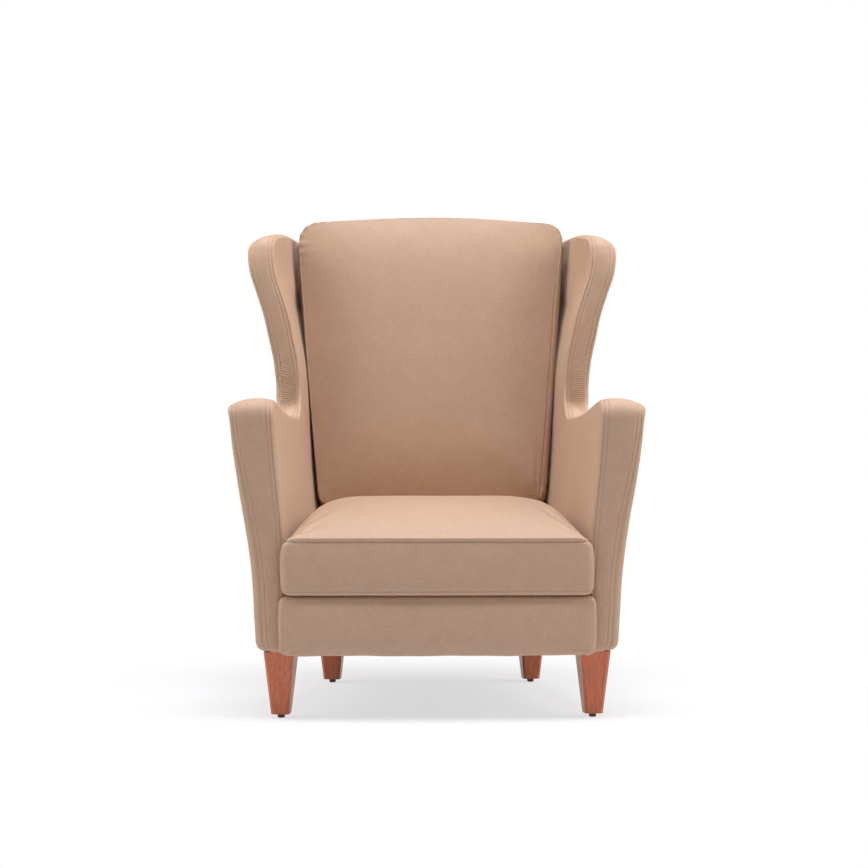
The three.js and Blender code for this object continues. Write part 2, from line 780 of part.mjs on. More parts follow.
// Arms: thick padded slabs whose tops dip behind the nose and run flat under the wings
const armNoseShares = [[0, 0.96], [0.05, 1], [0.14, 0.93], [0.3, 0.66], [0.46, 0.36], [0.62, 0.16],
  [0.8, 0.04], [1, 0]];
const armEdgeRoll = 10;
const armTopOuterRadius = 24;
const armTopInnerRadius = 12;
const armBottomRadius = 12;
const squareCorner = 1;
const armSideShares = [0.04, 0.2, 0.36, 0.53, 0.73, 0.88];
const armDepthShares = [0.08, 0.16, 0.25, 0.34, 0.44, 0.54, 0.62, 0.72, 0.86, 1];
const arcSteps = 3;

function armTopZ(y) {
  const share = (y - sideFrontY) / (wingFrontY - sideFrontY);
  return armRootZ + armNoseRise * along(armNoseShares, share);
}

function arcPoints(centreX, centreZ, radius, fromAngle, toAngle) {
  const points = [];
  for (let step = 0; step <= arcSteps; step += 1) {
    const angle = THREE.MathUtils.lerp(fromAngle, toAngle, step / arcSteps);
    points.push([centreX + radius * Math.cos(angle), centreZ + radius * Math.sin(angle)]);
  }
  return points;
}

// One upright slice through the right arm: its depth follows the lean of the rear end.
function armSlice(depthAt, inset) {
  const topY = depthAt(armRootZ);
  const top = armTopZ(topY) - inset;
  const bottom = sideBottomZ + inset;
  const free = THREE.MathUtils.clamp((wingFrontY - topY) / wingSetback, 0, 1);
  const innerRadius = THREE.MathUtils.lerp(squareCorner, armTopInnerRadius, free);
  const outerRadius = THREE.MathUtils.lerp(squareCorner, armTopOuterRadius, free);
  const innerTop = innerX(topY, top) + inset;
  const outerTop = outerX(topY, top) - inset;
  const quarter = Math.PI / 2;
  const outerFoot = outerX(depthAt(bottom), bottom) - inset;
  const rise = (share) => bottom + share * (top - bottom - armTopOuterRadius);
  const heights = armSideShares.map(rise);
  const inner = heights.map((z) => [innerX(depthAt(z), z) + inset, z]);
  const outer = heights.map((z) => [outerX(depthAt(z), z) - inset, z]);
  outer.reverse().pop();
  const section = [
    ...inner,
    ...arcPoints(innerTop + innerRadius, top - innerRadius, innerRadius, Math.PI, quarter),
    ...arcPoints(outerTop - outerRadius, top - outerRadius, outerRadius, quarter, 0),
    ...outer,
    ...arcPoints(outerFoot - armBottomRadius, bottom + armBottomRadius, armBottomRadius, 0, -quarter),
    [innerX(depthAt(bottom), bottom) + inset, bottom],
  ];
  return section.map(([x, z]) => new THREE.Vector3(x, depthAt(z), z));
}

function armSlab() {
  const slices = [
    armSlice(() => sideFrontY, armEdgeRoll),
    armSlice(() => sideFrontY + armEdgeRoll / 3, armEdgeRoll / 3),
    armSlice(() => sideFrontY + armEdgeRoll, 0),
  ];
  for (const share of armDepthShares) {
    const rearAt = (z) => backPlaneY(backDepth - gap, z);
    const depthAt = (z) => THREE.MathUtils.lerp(sideFrontY + armEdgeRoll, rearAt(z), share);
    slices.push(armSlice(depthAt, 0));
  }
  return loft(slices);
}

// Wings: swept slabs that rise from the arms, flare outwards and roll over at the top
const wingFrontShares = [[0, 0], [0.015, 0.26], [0.04, 0.48], [0.08, 0.72], [0.13, 0.88], [0.25, 1],
  [0.5, 1.02], [0.7, 1.06], [0.82, 1.18], [0.9, 1.4], [0.95, 1.72], [0.985, 2.3], [1, 2.9]];
const wingSliceShares = [0, 0.015, 0.04, 0.08, 0.13, 0.22, 0.34, 0.46, 0.58, 0.69, 0.79, 0.87, 0.93, 0.975, 1];
const wingTopInsetShares = [[0.9, 0], [0.95, 0.12], [0.985, 0.5], [1, 1]];
const wingTopRoll = 13;
const wingOuterRadius = 19;
const wingInnerRadius = 14;
const wingRearInset = 0.5;
const wingSideShares = [0.12, 0.35, 0.62];

function wingSlice(share) {
  const z = armRootZ + gap + share * (wingHeight - gap);
  const inset = wingTopRoll * along(wingTopInsetShares, share);
  const front = wingFrontY + wingSetback * along(wingFrontShares, share);
  const rear = backPlaneY(backDepth - gap, z);
  const inner = (y) => innerX(y, z) + inset;
  const outer = (y) => outerX(y, z) - inset;
  const quarter = Math.PI / 2;
  const half = (outer(front) - inner(front)) / 2;
  const innerRadius = Math.min(wingInnerRadius, half);
  const outerRadius = Math.min(wingOuterRadius, half);
  const sides = wingSideShares.map((part) => THREE.MathUtils.lerp(rear, front + outerRadius, part));
  const nose = [
    ...arcPoints(inner(front) + innerRadius, front + innerRadius, innerRadius, Math.PI, Math.PI + quarter),
    ...arcPoints(outer(front) - outerRadius, front + outerRadius, outerRadius, -quarter, 0),
  ];
  const section = [
    [inner(rear), rear],
    ...sides.map((y) => [inner(y), y]),
    ...nose,
    ...sides.reverse().map((y) => [outer(y), y]),
    [outer(rear), rear],
  ];
  return section.map(([x, y]) => new THREE.Vector3(x, y, z));
}

const wingSlab = () => loft(wingSliceShares.map(wingSlice));

const sideCutters = [
  armPost(cutGrow),
  frontRail(cutGrow),
  armRail(cutGrow),
  wingPost(cutGrow),
  wingRail(cutGrow),
  backPost(cutGrow),
];
addPair(chair, 'arm_upholstery', cutBy(armSlab(), sideCutters), cloth);
addPair(chair, 'wing_upholstery', cutBy(wingSlab(), sideCutters), cloth);

// Inside back: the padded panel between the wings, turned over the top rail
const insideBackRear = backPostFront - webWall - gap * 2;
const insideBackSideGap = 1.8;
const insideBackFootRise = 4;
const insideBackRiseShares = [0, 0.1, 0.2, 0.3, 0.4, 0.48, 0.57, 0.63, 0.7, 0.76, 0.83, 0.9, 1];
const topRollRise = backFrameHeadRise + gap * 3;
const topCorner = 5;

function insideBackSlice(rise, frontInset, rearDepth) {
  const corners = [];
  for (const [side, depth] of [[-1, frontInset], [1, frontInset], [1, rearDepth], [-1, rearDepth]]) {
    const { y, z } = backPlace(depth, rise);
    corners.push(new THREE.Vector3(side * (innerX(y, z) - insideBackSideGap), y, z));
  }
  return corners;
}

const insideBackPanel = loft(insideBackRiseShares.map((share) => {
  const rise = THREE.MathUtils.lerp(insideBackFootRise, backHeadRise - topCorner, share);
  return insideBackSlice(rise, 0, insideBackRear);
}).concat([insideBackSlice(backHeadRise, topCorner, insideBackRear)]));
const insideBackRoll = loft([
  insideBackSlice(topRollRise, topCorner, backDepth - wingRearInset),
  insideBackSlice(backHeadRise, topCorner, backDepth - wingRearInset),
]);
add(chair, 'inside_back_pad', joined(insideBackPanel, insideBackRoll), cloth);

// Outside back: a board covered in cloth, from the bottom of the frame to the top
const outsideBackEdge = 3;
const outsideBackShares = [0, 0.2, 0.4, 0.55, 0.65, 0.75, 0.85, 0.92, 1];
const outsideBackHeadRise = backRise(backDepth, backTopZ) - topCorner;
const outsideBackFootRise = backRise(backDepth, sideBottomZ) + topCorner;

function outsideBackSlice(rise, inset) {
  const corners = [];
  const far = backDepth + outsideBackWall;
  for (const [side, depth, pull] of [
    [-1, backDepth, inset], [1, backDepth, inset],
    [1, far - outsideBackEdge, inset], [1, far, inset + outsideBackEdge],
    [-1, far, inset + outsideBackEdge], [-1, far - outsideBackEdge, inset],
  ]) {
    const { y, z } = backPlace(depth, rise);
    corners.push(new THREE.Vector3(side * (outerX(y, z) - pull), y, z));
  }
  return corners;
}

add(chair, 'outside_back_panel', loft(outsideBackShares.map((share, i) => {
  const inset = i === outsideBackShares.length - 1 ? wingTopRoll : wingRearInset;
  return outsideBackSlice(THREE.MathUtils.lerp(outsideBackFootRise, outsideBackHeadRise, share), inset);
})), cloth);

// Front rail pad: the upholstered apron that stands proud of the arms and legs
const apronLap = 22;
const apronHalf = armInnerHalf + apronLap;
const apronDrop = 5;
const apronTopGap = 1.5;
const apronLowZ = sideBottomZ - apronDrop;
const apronHighZ = seatLineZ - apronTopGap;
const apronRadius = 20;
const apronBow = 1;
const apronBorder = 22;
const apronTongueInset = 2;
const apronCornerSteps = 3;
const apronSideSteps = 6;
const apronOutline = roundedOutline([
  corner(-apronHalf, apronLowZ, apronRadius, apronBow),
  corner(apronHalf, apronLowZ, apronRadius, apronBow),
  corner(apronHalf, apronHighZ, apronRadius, 0),
  corner(-apronHalf, apronHighZ, apronRadius, apronBow),
], apronCornerSteps, apronSideSteps);
const apronCrown = 8;
const apronPower = 4;
const apronBackY = sideFrontY - gap;
const apronFace = apronSolid();
const apronTongue = block(
  new THREE.Vector3(-innerX(0, sideBottomZ) + apronTongueInset, apronBackY - overrun, sideBottomZ),
  new THREE.Vector3(innerX(0, sideBottomZ) - apronTongueInset, -gap, apronHighZ - apronTongueInset),
);
add(chair, 'front_rail_pad', joined(apronFace, apronTongue), cloth);

function apronSolid() {
  const roll = apronBorder / 4;
  const rings = [
    level(drawnIn(apronOutline, roll), 0),
    level(drawnIn(apronOutline, 0), roll),
    level(drawnIn(apronOutline, 0), apronBorder - roll),
    level(drawnIn(apronOutline, roll / 2), apronBorder - roll / 3),
  ];
  for (const share of crownShares) {
    const height = apronBorder + apronCrown * (1 - share ** apronPower);
    rings.push(level(shrunk(drawnIn(apronOutline, roll), share), height));
  }
  return loft(rings).rotateX(Math.PI / 2).translate(0, apronBackY, 0);
}

// Legs: square tapered timber with chamfered edges, a glide under each and a bolt into the frame
const legHeight = sideBottomZ - gap - glideHeight;

function legRing(width, z) {
  const half = width / 2;
  const flat = half - legChamfer;
  return [[flat, -half], [half, -flat], [half, flat], [flat, half], [-flat, half], [-half, flat],
    [-half, -flat], [-flat, -half]].map(([x, y]) => new THREE.Vector3(x, y, z));
}

function legGeometry() {
  const body = loft([legRing(legFootWidth, 0), legRing(legTopWidth, legHeight)]);
  return cutBy(body, [boltHole(0, 0, gap).translate(0, 0, -glideHeight)]);
}

function glideGeometry() {
  const radius = glideWidth / 2;
  const rim = radius / 5;
  const top = glideHeight - gap;
  const neck = radius - rim;
  const profile = [[0, 0], [neck, 0], [radius, rim], [radius, top - rim], [neck, top], [0, top]];
  const outline = profile.map(([x, y]) => new THREE.Vector2(x, y));
  return new THREE.LatheGeometry(outline, roundSides).rotateX(Math.PI / 2);
}

for (const [name, x, y, turn] of [
  ['right_front', frontLegX, 0, legTurn],
  ['left_front', -frontLegX, 0, -legTurn],
  ['right_rear', rearLegX, rearLegY, legTurn],
  ['left_rear', -rearLegX, rearLegY, -legTurn],
]) {
  const station = new THREE.Group();
  station.position.set(x, y, 0);
  station.rotation.z = turn;
  chair.add(station);
  add(station, `${name}_leg`, legGeometry(), stainedWood).position.z = glideHeight;
  add(station, `${name}_glide`, glideGeometry(), darkPlastic);
  add(station, `${name}_leg_bolt`, boltHole(0, 0, 0), steel);
}

// The origin sits under the middle of the chair, on the floor.
chair.updateMatrixWorld(true);
const bounds = new THREE.Box3().setFromObject(chair, true);
chair.position.y = -(bounds.min.y + bounds.max.y) / 2;

export default chair;
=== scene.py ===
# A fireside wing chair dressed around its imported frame: the timbers, springs and webs keep
# their places, and every padded part gets its sewn, crowned and gathered cloth.
import json
import math

import bmesh
import bpy
import numpy as np
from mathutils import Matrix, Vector, noise


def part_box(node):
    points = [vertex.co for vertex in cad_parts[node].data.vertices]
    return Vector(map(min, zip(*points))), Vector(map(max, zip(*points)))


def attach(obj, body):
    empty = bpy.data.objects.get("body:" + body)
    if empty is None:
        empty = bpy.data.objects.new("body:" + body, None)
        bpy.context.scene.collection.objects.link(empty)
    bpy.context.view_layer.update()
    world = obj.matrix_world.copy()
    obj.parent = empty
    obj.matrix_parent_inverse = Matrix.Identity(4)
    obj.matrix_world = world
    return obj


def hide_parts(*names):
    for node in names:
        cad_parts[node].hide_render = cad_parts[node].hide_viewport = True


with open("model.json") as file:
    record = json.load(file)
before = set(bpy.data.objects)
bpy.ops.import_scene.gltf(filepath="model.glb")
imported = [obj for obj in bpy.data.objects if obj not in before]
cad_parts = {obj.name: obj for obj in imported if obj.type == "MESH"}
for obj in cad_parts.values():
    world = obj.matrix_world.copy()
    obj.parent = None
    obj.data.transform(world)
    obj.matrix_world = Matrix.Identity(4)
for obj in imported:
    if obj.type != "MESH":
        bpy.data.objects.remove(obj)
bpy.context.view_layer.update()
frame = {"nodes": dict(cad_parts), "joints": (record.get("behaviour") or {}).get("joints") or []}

# The view of the photograph: a long lens at the height of the arms, a little to the left of
# the middle, with the chair 4.4 m away at its front legs.
image_width = 868
focal_pixels = 2200
sensor_width = 36.0
camera_height = 0.635
camera_distance = 4.4
camera_side = -0.10
turn_right = math.radians(1.22)
tilt_down = math.radians(0.885)

front_glide_low, front_glide_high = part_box("left_front_glide")
leg_line = (front_glide_low.y + front_glide_high.y) / 2

lens = bpy.data.cameras.new("photograph_view")
lens.sensor_width = sensor_width
lens.lens = focal_pixels * sensor_width / image_width
camera = bpy.data.objects.new("photograph_view", lens)
camera.location = (camera_side, leg_line - camera_distance, camera_height)
camera.rotation_euler = (math.pi / 2 - tilt_down, 0, -turn_right)
bpy.context.scene.collection.objects.link(camera)
bpy.context.scene.camera = camera

# The studio: a plain white floor that runs into a white background, a soft light high up on each
# side and a stronger one overhead, a little to the front.
def node_at(tree, kind, inputs, **settings):
    """A new node. Its inputs name sockets, each with a plain value or with a socket to wire in."""
    node = tree.nodes.new(kind)
    for name, value in settings.items():
        setattr(node, name, value)
    for label, value in inputs.items():
        if isinstance(value, bpy.types.NodeSocket):
            tree.links.new(value, node.inputs[label])
        else:
            node.inputs[label].default_value = value
    return node


def maths(tree, operation, *inputs, kind="ShaderNodeMath"):
    return node_at(tree, kind, dict(enumerate(inputs)), operation=operation).outputs[0]


def mapped(tree, value, low, high, to_low=0.0, to_high=1.0, curve="LINEAR"):
    """A value carried from one range to another and held at both ends."""
    inputs = {"Value": value, "From Min": low, "From Max": high, "To Min": to_low, "To Max": to_high}
    return node_at(tree, "ShaderNodeMapRange", inputs, interpolation_type=curve).outputs["Result"]


def place_on(tree):
    return node_at(tree, "ShaderNodeTexCoord", {}).outputs["Object"]


def material_with(name, **sockets):
    """A new material and its Principled shader, with the plain values set on the sockets."""
    material = bpy.data.materials.new(name)
    material.use_nodes = True
    shader = material.node_tree.nodes["Principled BSDF"]
    for label, value in sockets.items():
        shader.inputs[label.replace("_", " ")].default_value = value
    return material, shader


def seen_directly(tree):
    """1 for the camera and for what metal and glass reflect, 0 for light that falls on the chair."""
    rays = node_at(tree, "ShaderNodeLightPath", {}).outputs
    seen = maths(tree, "MAXIMUM", rays["Is Camera Ray"], rays["Is Glossy Ray"])
    return maths(tree, "MAXIMUM", seen, rays["Is Transmission Ray"])


def blend_to_white(tree, kind, share, shader, output):
    """Blends a shader into pure white by a share and wires the blend to an output."""
    white = node_at(tree, kind, {"Color": (1, 1, 1, 1), "Strength": 1.0})
    blend = node_at(tree, "ShaderNodeMixShader", {0: share, 1: shader.outputs[0], 2: white.outputs[0]})
    tree.links.new(blend.outputs[0], tree.nodes[output].inputs["Surface"])


floor_tone = (0.80, 0.79, 0.825)
floor_roughness = 0.9
floor_half = 14.0
shadow_share = 0.34
shadow_reach = (0.40, 1.0)
ambient_tone = (1.0, 0.97, 0.93)
ambient_strength = 0.07
lamp_target = Vector((0.0, 0.0, 0.5))
lamps = [
    ("right_light", (3.0, -0.45, 2.6), (3.0, 2.6), 82.0, (1.04, 0.985, 0.91)),
    ("left_light", (-3.0, -0.45, 2.6), (3.0, 2.6), 70.0, (1.04, 0.985, 0.91)),
    ("overhead_light", (0.2, -0.6, 6.4), (3.2, 2.8), 366.0, (0.96, 1.0, 1.12)),
]


def studio_floor():
    """A white floor whose shadow round the chair fades into pure white further out."""
    material, shader = material_with(
        "studio_floor", Base_Color=(*floor_tone, 1), Roughness=floor_roughness,
    )
    tree = material.node_tree
    away = node_at(tree, "ShaderNodeVectorMath", {0: place_on(tree)}, operation="LENGTH").outputs["Value"]
    fade = mapped(tree, away, *shadow_reach, 1 - shadow_share, curve="SMOOTHSTEP")
    share = maths(tree, "MULTIPLY", fade, seen_directly(tree))
    blend_to_white(tree, "ShaderNodeEmission", share, shader, "Material Output")
    mesh = bpy.data.meshes.new("studio_floor")
    ends = [(x * floor_half, y * floor_half, 0) for x, y in ((-1, -1), (1, -1), (1, 1), (-1, 1))]
    mesh.from_pydata(ends, [], [(0, 1, 2, 3)])
    mesh.materials.append(material)
    floor = bpy.data.objects.new("studio_floor", mesh)
    bpy.context.scene.collection.objects.link(floor)


def studio_world():
    world = bpy.data.worlds.new("studio")
    bpy.context.scene.world = world
    world.use_nodes = True
    tree = world.node_tree
    ambient = tree.nodes["Background"]
    ambient.inputs["Color"].default_value = (*ambient_tone, 1)
    ambient.inputs["Strength"].default_value = ambient_strength
    blend_to_white(tree, "ShaderNodeBackground", seen_directly(tree), ambient, "World Output")


def soft_light(name, place, size, power, tone):
    light = bpy.data.lights.new(name, "AREA")
    light.shape = "RECTANGLE"
    light.size, light.size_y = size
    light.energy = power
    light.color = tone
    lamp = bpy.data.objects.new(name, light)
    lamp.location = place
    lamp.rotation_euler = (lamp_target - Vector(place)).to_track_quat("-Z", "Y").to_euler()
    bpy.context.scene.collection.objects.link(lamp)


studio_floor()
studio_world()
for lamp in lamps:
    soft_light(*lamp)
bpy.context.scene.view_settings.view_transform = "Standard"

# The seat and back timbers: planed beech, glued and screwed, hidden under the cloth. The grain
# runs along each piece, so one wood grain effect serves them and the stained legs.
def shader_group(name, inputs, outputs):
    """A node group, the sockets it is given, and a function that wires sockets to its outputs."""
    group = bpy.data.node_groups.new(name, "ShaderNodeTree")
    for label, kind, value in inputs:
        socket = group.interface.new_socket(label, in_out="INPUT", socket_type=kind)
        socket.default_value = value
    for label, kind in outputs:
        group.interface.new_socket(label, in_out="OUTPUT", socket_type=kind)
    out = group.nodes.new("NodeGroupOutput")

    def give(*sockets):
        for (label, _), socket in zip(outputs, sockets):
            group.links.new(socket, out.inputs[label])
        return group

    return group, group.nodes.new("NodeGroupInput").outputs, give


def noise_at(tree, place, scale, detail, roughness=0.5, **more):
    inputs = {"Vector": place, "Scale": scale, "Detail": detail, "Roughness": roughness, **more}
    return node_at(tree, "ShaderNodeTexNoise", inputs).outputs["Fac"]


def mixed(tree, factor, first, second, blend="MIX"):
    inputs = {"Factor": factor, "A": first, "B": second}
    return node_at(tree, "ShaderNodeMix", inputs, data_type="RGBA", blend_type=blend).outputs["Result"]


def scaled(tree, vector, scale):
    return node_at(tree, "ShaderNodeVectorMath", {0: vector, "Scale": scale}, operation="SCALE").outputs[0]


ring_fold = 0.12
pore_scale = 9.0
pore_range = (0.52, 0.68)
pore_darkness = 0.45
grain_depth = 0.0002
grain_strength = 0.4


def wood_grain_group():
    """Growth rings stretched along the timber, fine pores and a slow change of tone."""
    group, given, give = shader_group(
        "wood_grain",
        [
            ("Light", "NodeSocketColor", (0.5, 0.3, 0.15, 1)),
            ("Dark", "NodeSocketColor", (0.3, 0.15, 0.06, 1)),
            ("Stretch", "NodeSocketVector", (60.0, 60.0, 5.0)),
        ],
        [("Color", "NodeSocketColor"), ("Pores", "NodeSocketFloat"), ("Height", "NodeSocketFloat")],
    )
    grown = maths(group, "MULTIPLY", place_on(group), given["Stretch"], kind="ShaderNodeVectorMath")
    rings = noise_at(group, grown, 1.0, 5.0, 0.62, Distortion=1.2)
    bands = mapped(group, maths(group, "PINGPONG", rings, ring_fold), 0.0, ring_fold)
    pits = mapped(group, noise_at(group, scaled(group, grown, pore_scale), 1.0, 2.0, 0.7), *pore_range)
    tone = mixed(group, bands, given["Light"], given["Dark"])
    pitted = mixed(group, maths(group, "MULTIPLY", pits, pore_darkness), tone, given["Dark"], "MULTIPLY")
    return give(pitted, pits, maths(group, "SUBTRACT", bands, pits))


wood_grain = wood_grain_group()


def bump_into(tree, height, shader, distance, strength=1.0):
    bump = node_at(tree, "ShaderNodeBump", {"Height": height, "Distance": distance, "Strength": strength})
    tree.links.new(bump.outputs["Normal"], shader.inputs["Normal"])


def roughness_from(tree, value, shader, low, high):
    tree.links.new(mapped(tree, value, 0.0, 1.0, low, high), shader.inputs["Roughness"])


def timber(name, light, dark, stretch, rough_range, **sockets):
    material, shader = material_with(name, **sockets)
    tree = material.node_tree
    inputs = {"Light": (*light, 1), "Dark": (*dark, 1), "Stretch": stretch}
    grain = node_at(tree, "ShaderNodeGroup", inputs, node_tree=wood_grain).outputs
    tree.links.new(grain["Color"], shader.inputs["Base Color"])
    roughness_from(tree, grain["Pores"], shader, *rough_range)
    bump_into(tree, grain["Height"], shader, grain_depth, grain_strength)
    return material


def refinish(material, *nodes):
    for name in nodes:
        shape = frame["nodes"][name]
        shape.data.materials.clear()
        shape.data.materials.append(material)


def both_sides(*parts):
    return [f"{side}_{part}" for side in ("left", "right") for part in parts]


beech_light = (0.60, 0.42, 0.24)
beech_dark = (0.46, 0.29, 0.15)
beech_roughness = (0.55, 0.75)
beech_timbers = {
    "across": ((4.0, 70.0, 70.0), ["front_seat_rail", "rear_seat_rail", "back_top_rail", "back_lower_rail"]),
    "along": ((70.0, 4.0, 70.0), both_sides(
        "side_seat_rail", "arm_rail", "wing_rail", "front_corner_block", "rear_corner_block")),
    "upright": ((70.0, 70.0, 4.0), both_sides("arm_post", "wing_post", "back_post")),
}
for run, (stretch, timbers) in beech_timbers.items():
    refinish(timber(f"beech_{run}", beech_light, beech_dark, stretch, beech_roughness), *timbers)

# The legs: square tapered hardwood, chamfered on the four edges, stained red-brown and
# lacquered. Each is bolted up into the frame and stands on a small dark glide.
corners = both_sides("front", "rear")
leg_light = (0.595, 0.152, 0.049)
leg_dark = (0.485, 0.116, 0.036)
leg_stretch = (55.0, 55.0, 6.0)
leg_edge = 0.0012
glide_edge = 0.0006
sharp_edge = math.radians(24)


def eased_edges(shape, width, segments):
    """Softens the sawn edges of a timber without touching its own mesh."""
    bevel = shape.modifiers.new("eased_edges", "BEVEL")
    bevel.width = width
    bevel.segments = segments
    bevel.limit_method = "ANGLE"
    bevel.angle_limit = sharp_edge
    bevel.harden_normals = True


def speckled(name, colour, spot, scale, rough_range, bump, **sockets):
    """A moulded or drawn surface with a fine uneven skin."""
    material, shader = material_with(name, **sockets)
    tree = material.node_tree
    cloud = noise_at(tree, place_on(tree), scale, 4.0, 0.6)
    tree.links.new(mixed(tree, cloud, (*colour, 1), (*spot, 1)), shader.inputs["Base Color"])
    roughness_from(tree, cloud, shader, *rough_range)
    bump_into(tree, cloud, shader, bump)
    return material


leg_stain = timber(
    "stained_leg", leg_light, leg_dark, leg_stretch, (0.34, 0.50), Coat_Weight=0.25, Coat_Roughness=0.25,
)
glide_plastic = speckled(
    "glide_plastic", (0.045, 0.022, 0.014), (0.085, 0.045, 0.03), 900.0, (0.35, 0.6), 0.0001,
)
bolt_steel = speckled(
    "bolt_steel", (0.50, 0.49, 0.47), (0.38, 0.37, 0.35), 700.0, (0.25, 0.45), 0.0001, Metallic=1.0,
)
for corner in corners:
    refinish(leg_stain, f"{corner}_leg")
    refinish(glide_plastic, f"{corner}_glide")
    refinish(bolt_steel, f"{corner}_leg_bolt")
    eased_edges(frame["nodes"][f"{corner}_leg"], leg_edge, 3)
    eased_edges(frame["nodes"][f"{corner}_glide"], glide_edge, 2)

# Zigzag springs of bright drawn wire are strung front to rear over the rails to carry the seat.
# Woven rubber webs are stretched across the back posts and carry the back.
wire_bright = (0.56, 0.56, 0.55, 1)
wire_dull = (0.36, 0.35, 0.34, 1)
wire_roughness = (0.2, 0.5)
wire_mark_depth = 0.00008
draw_marks = 420.0
bloom_scale = 14.0
thread_stray = 0.0011
stray_scale = 140.0
thread_flatness = 4.0
slub_scales = (300.0, 300.0, 560.0)
slub_height = 1.6
slub_spread = (0.3, 0.7)
cloud_spread = (0.36, 0.64)


def scratched_steel():
    """Drawn wire: bright along its length, with fine draw marks and a dull bloom."""
    material, shader = material_with("drawn_wire", Metallic=1.0)
    tree = material.node_tree
    place = place_on(tree)
    marks = noise_at(tree, place, draw_marks, 3.0, 0.7)
    bloom = noise_at(tree, place, bloom_scale, 3.0)
    tree.links.new(mixed(tree, bloom, wire_bright, wire_dull), shader.inputs["Base Color"])
    roughness_from(tree, marks, shader, *wire_roughness)
    bump_into(tree, marks, shader, wire_mark_depth)
    return material


def weave_group():
    """Crossed threads seen on the face that the surface shows, with a slow change of tone."""
    group, given, give = shader_group(
        "crossed_threads",
        [("Threads per metre", "NodeSocketFloat", 900.0), ("Cloud Scale", "NodeSocketFloat", 30.0)],
        [("Height", "NodeSocketFloat"), ("Cloud", "NodeSocketFloat"), ("Slub", "NodeSocketFloat")],
    )
    vector = "ShaderNodeVectorMath"
    place = place_on(group)
    wander = node_at(group, "ShaderNodeTexNoise", {"Vector": place, "Scale": stray_scale, "Detail": 1.0})
    strayed = maths(group, "MULTIPLY_ADD", wander.outputs["Color"], (thread_stray,) * 3, place, kind=vector)
    turned = scaled(group, strayed, given["Threads per metre"])
    parts = node_at(group, "ShaderNodeSeparateXYZ", {0: turned}).outputs
    waves = {axis: maths(group, "SINE", maths(group, "MULTIPLY", parts[axis], math.pi)) for axis in "XYZ"}
    facing = node_at(group, "ShaderNodeNewGeometry", {}).outputs["True Normal"]
    flat = node_at(group, "ShaderNodeSeparateXYZ", {0: facing}).outputs
    crossings = []
    for axis, (first, second) in {"X": "YZ", "Y": "XZ", "Z": "XY"}.items():
        shown = maths(group, "POWER", maths(group, "ABSOLUTE", flat[axis]), thread_flatness)
        crossed = maths(group, "MULTIPLY", waves[first], waves[second])
        crossings.append(maths(group, "MULTIPLY", crossed, shown))
    height = maths(group, "ADD", maths(group, "ADD", crossings[0], crossings[1]), crossings[2])
    cloud = noise_at(group, place, given["Cloud Scale"], 4.0, 0.62)
    streaks = maths(group, "MULTIPLY", place, slub_scales, kind=vector)
    return give(height, cloud, noise_at(group, streaks, 1.0, 3.0, 0.7))


crossed_threads = weave_group()


def cloth_finish(name, colours, threads, cloud_scale, rough_range, depth, mottle, **sockets):
    """A woven finish. Its three colours run from the low to the high places of a slow cloud."""
    material, shader = material_with(name, **sockets)
    tree = material.node_tree
    inputs = {"Threads per metre": threads, "Cloud Scale": cloud_scale}
    weave = node_at(tree, "ShaderNodeGroup", inputs, node_tree=crossed_threads).outputs
    ramp = node_at(tree, "ShaderNodeValToRGB", {"Fac": mapped(tree, weave["Cloud"], *cloud_spread)})
    ramp.color_ramp.elements[0].color = (*colours[0], 1)
    ramp.color_ramp.elements[1].color = (*colours[2], 1)
    ramp.color_ramp.elements.new(0.5).color = (*colours[1], 1)
    fine = mapped(tree, weave["Slub"], *slub_spread, 1 - mottle, 1 + mottle)
    tree.links.new(scaled(tree, ramp.outputs["Color"], fine), shader.inputs["Base Color"])
    roughness_from(tree, weave["Cloud"], shader, *rough_range)
    raised = maths(tree, "MULTIPLY_ADD", weave["Slub"], slub_height, weave["Height"])
    bump_into(tree, raised, shader, depth)
    return material


wire_steel = scratched_steel()
rubber_web = cloth_finish(
    "rubber_web", ((0.06, 0.055, 0.05), (0.035, 0.032, 0.03), (0.02, 0.018, 0.017)), 500, 40, (0.7, 0.9),
    0.0004, 0.3,
)
refinish(wire_steel, *[f"seat_spring_{number}" for number in (1, 2, 3, 4)])
refinish(rubber_web, "upper_back_web", "middle_back_web", "lower_back_web")

# The dust cover: black spunbond cloth stapled under the seat rails and cut round the legs. It
# sags a little between the rails.
def new_piece(name, points, faces, material, body, slot, smooth=True):
    """A mesh object from an array of points, riding on its body."""
    mesh = bpy.data.meshes.new(name)
    mesh.from_pydata([tuple(point) for point in points], [], [tuple(face) for face in faces])
    mesh.polygons.foreach_set("use_smooth", [smooth] * len(mesh.polygons))
    mesh.materials.append(material)
    piece = bpy.data.objects.new(name, mesh)
    bpy.context.scene.collection.objects.link(piece)
    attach(piece, body)
    return piece


def faces_out(piece):
    """Turns every face of a closed mesh outwards."""
    form = bmesh.new()
    form.from_mesh(piece.data)
    bmesh.ops.recalc_face_normals(form, faces=form.faces)
    form.to_mesh(piece.data)
    form.free()


dust_sag = 0.005
dust_cells = 26
dust_ripple = 0.3
dust_ripple_scale = 18
welded = 0.00001


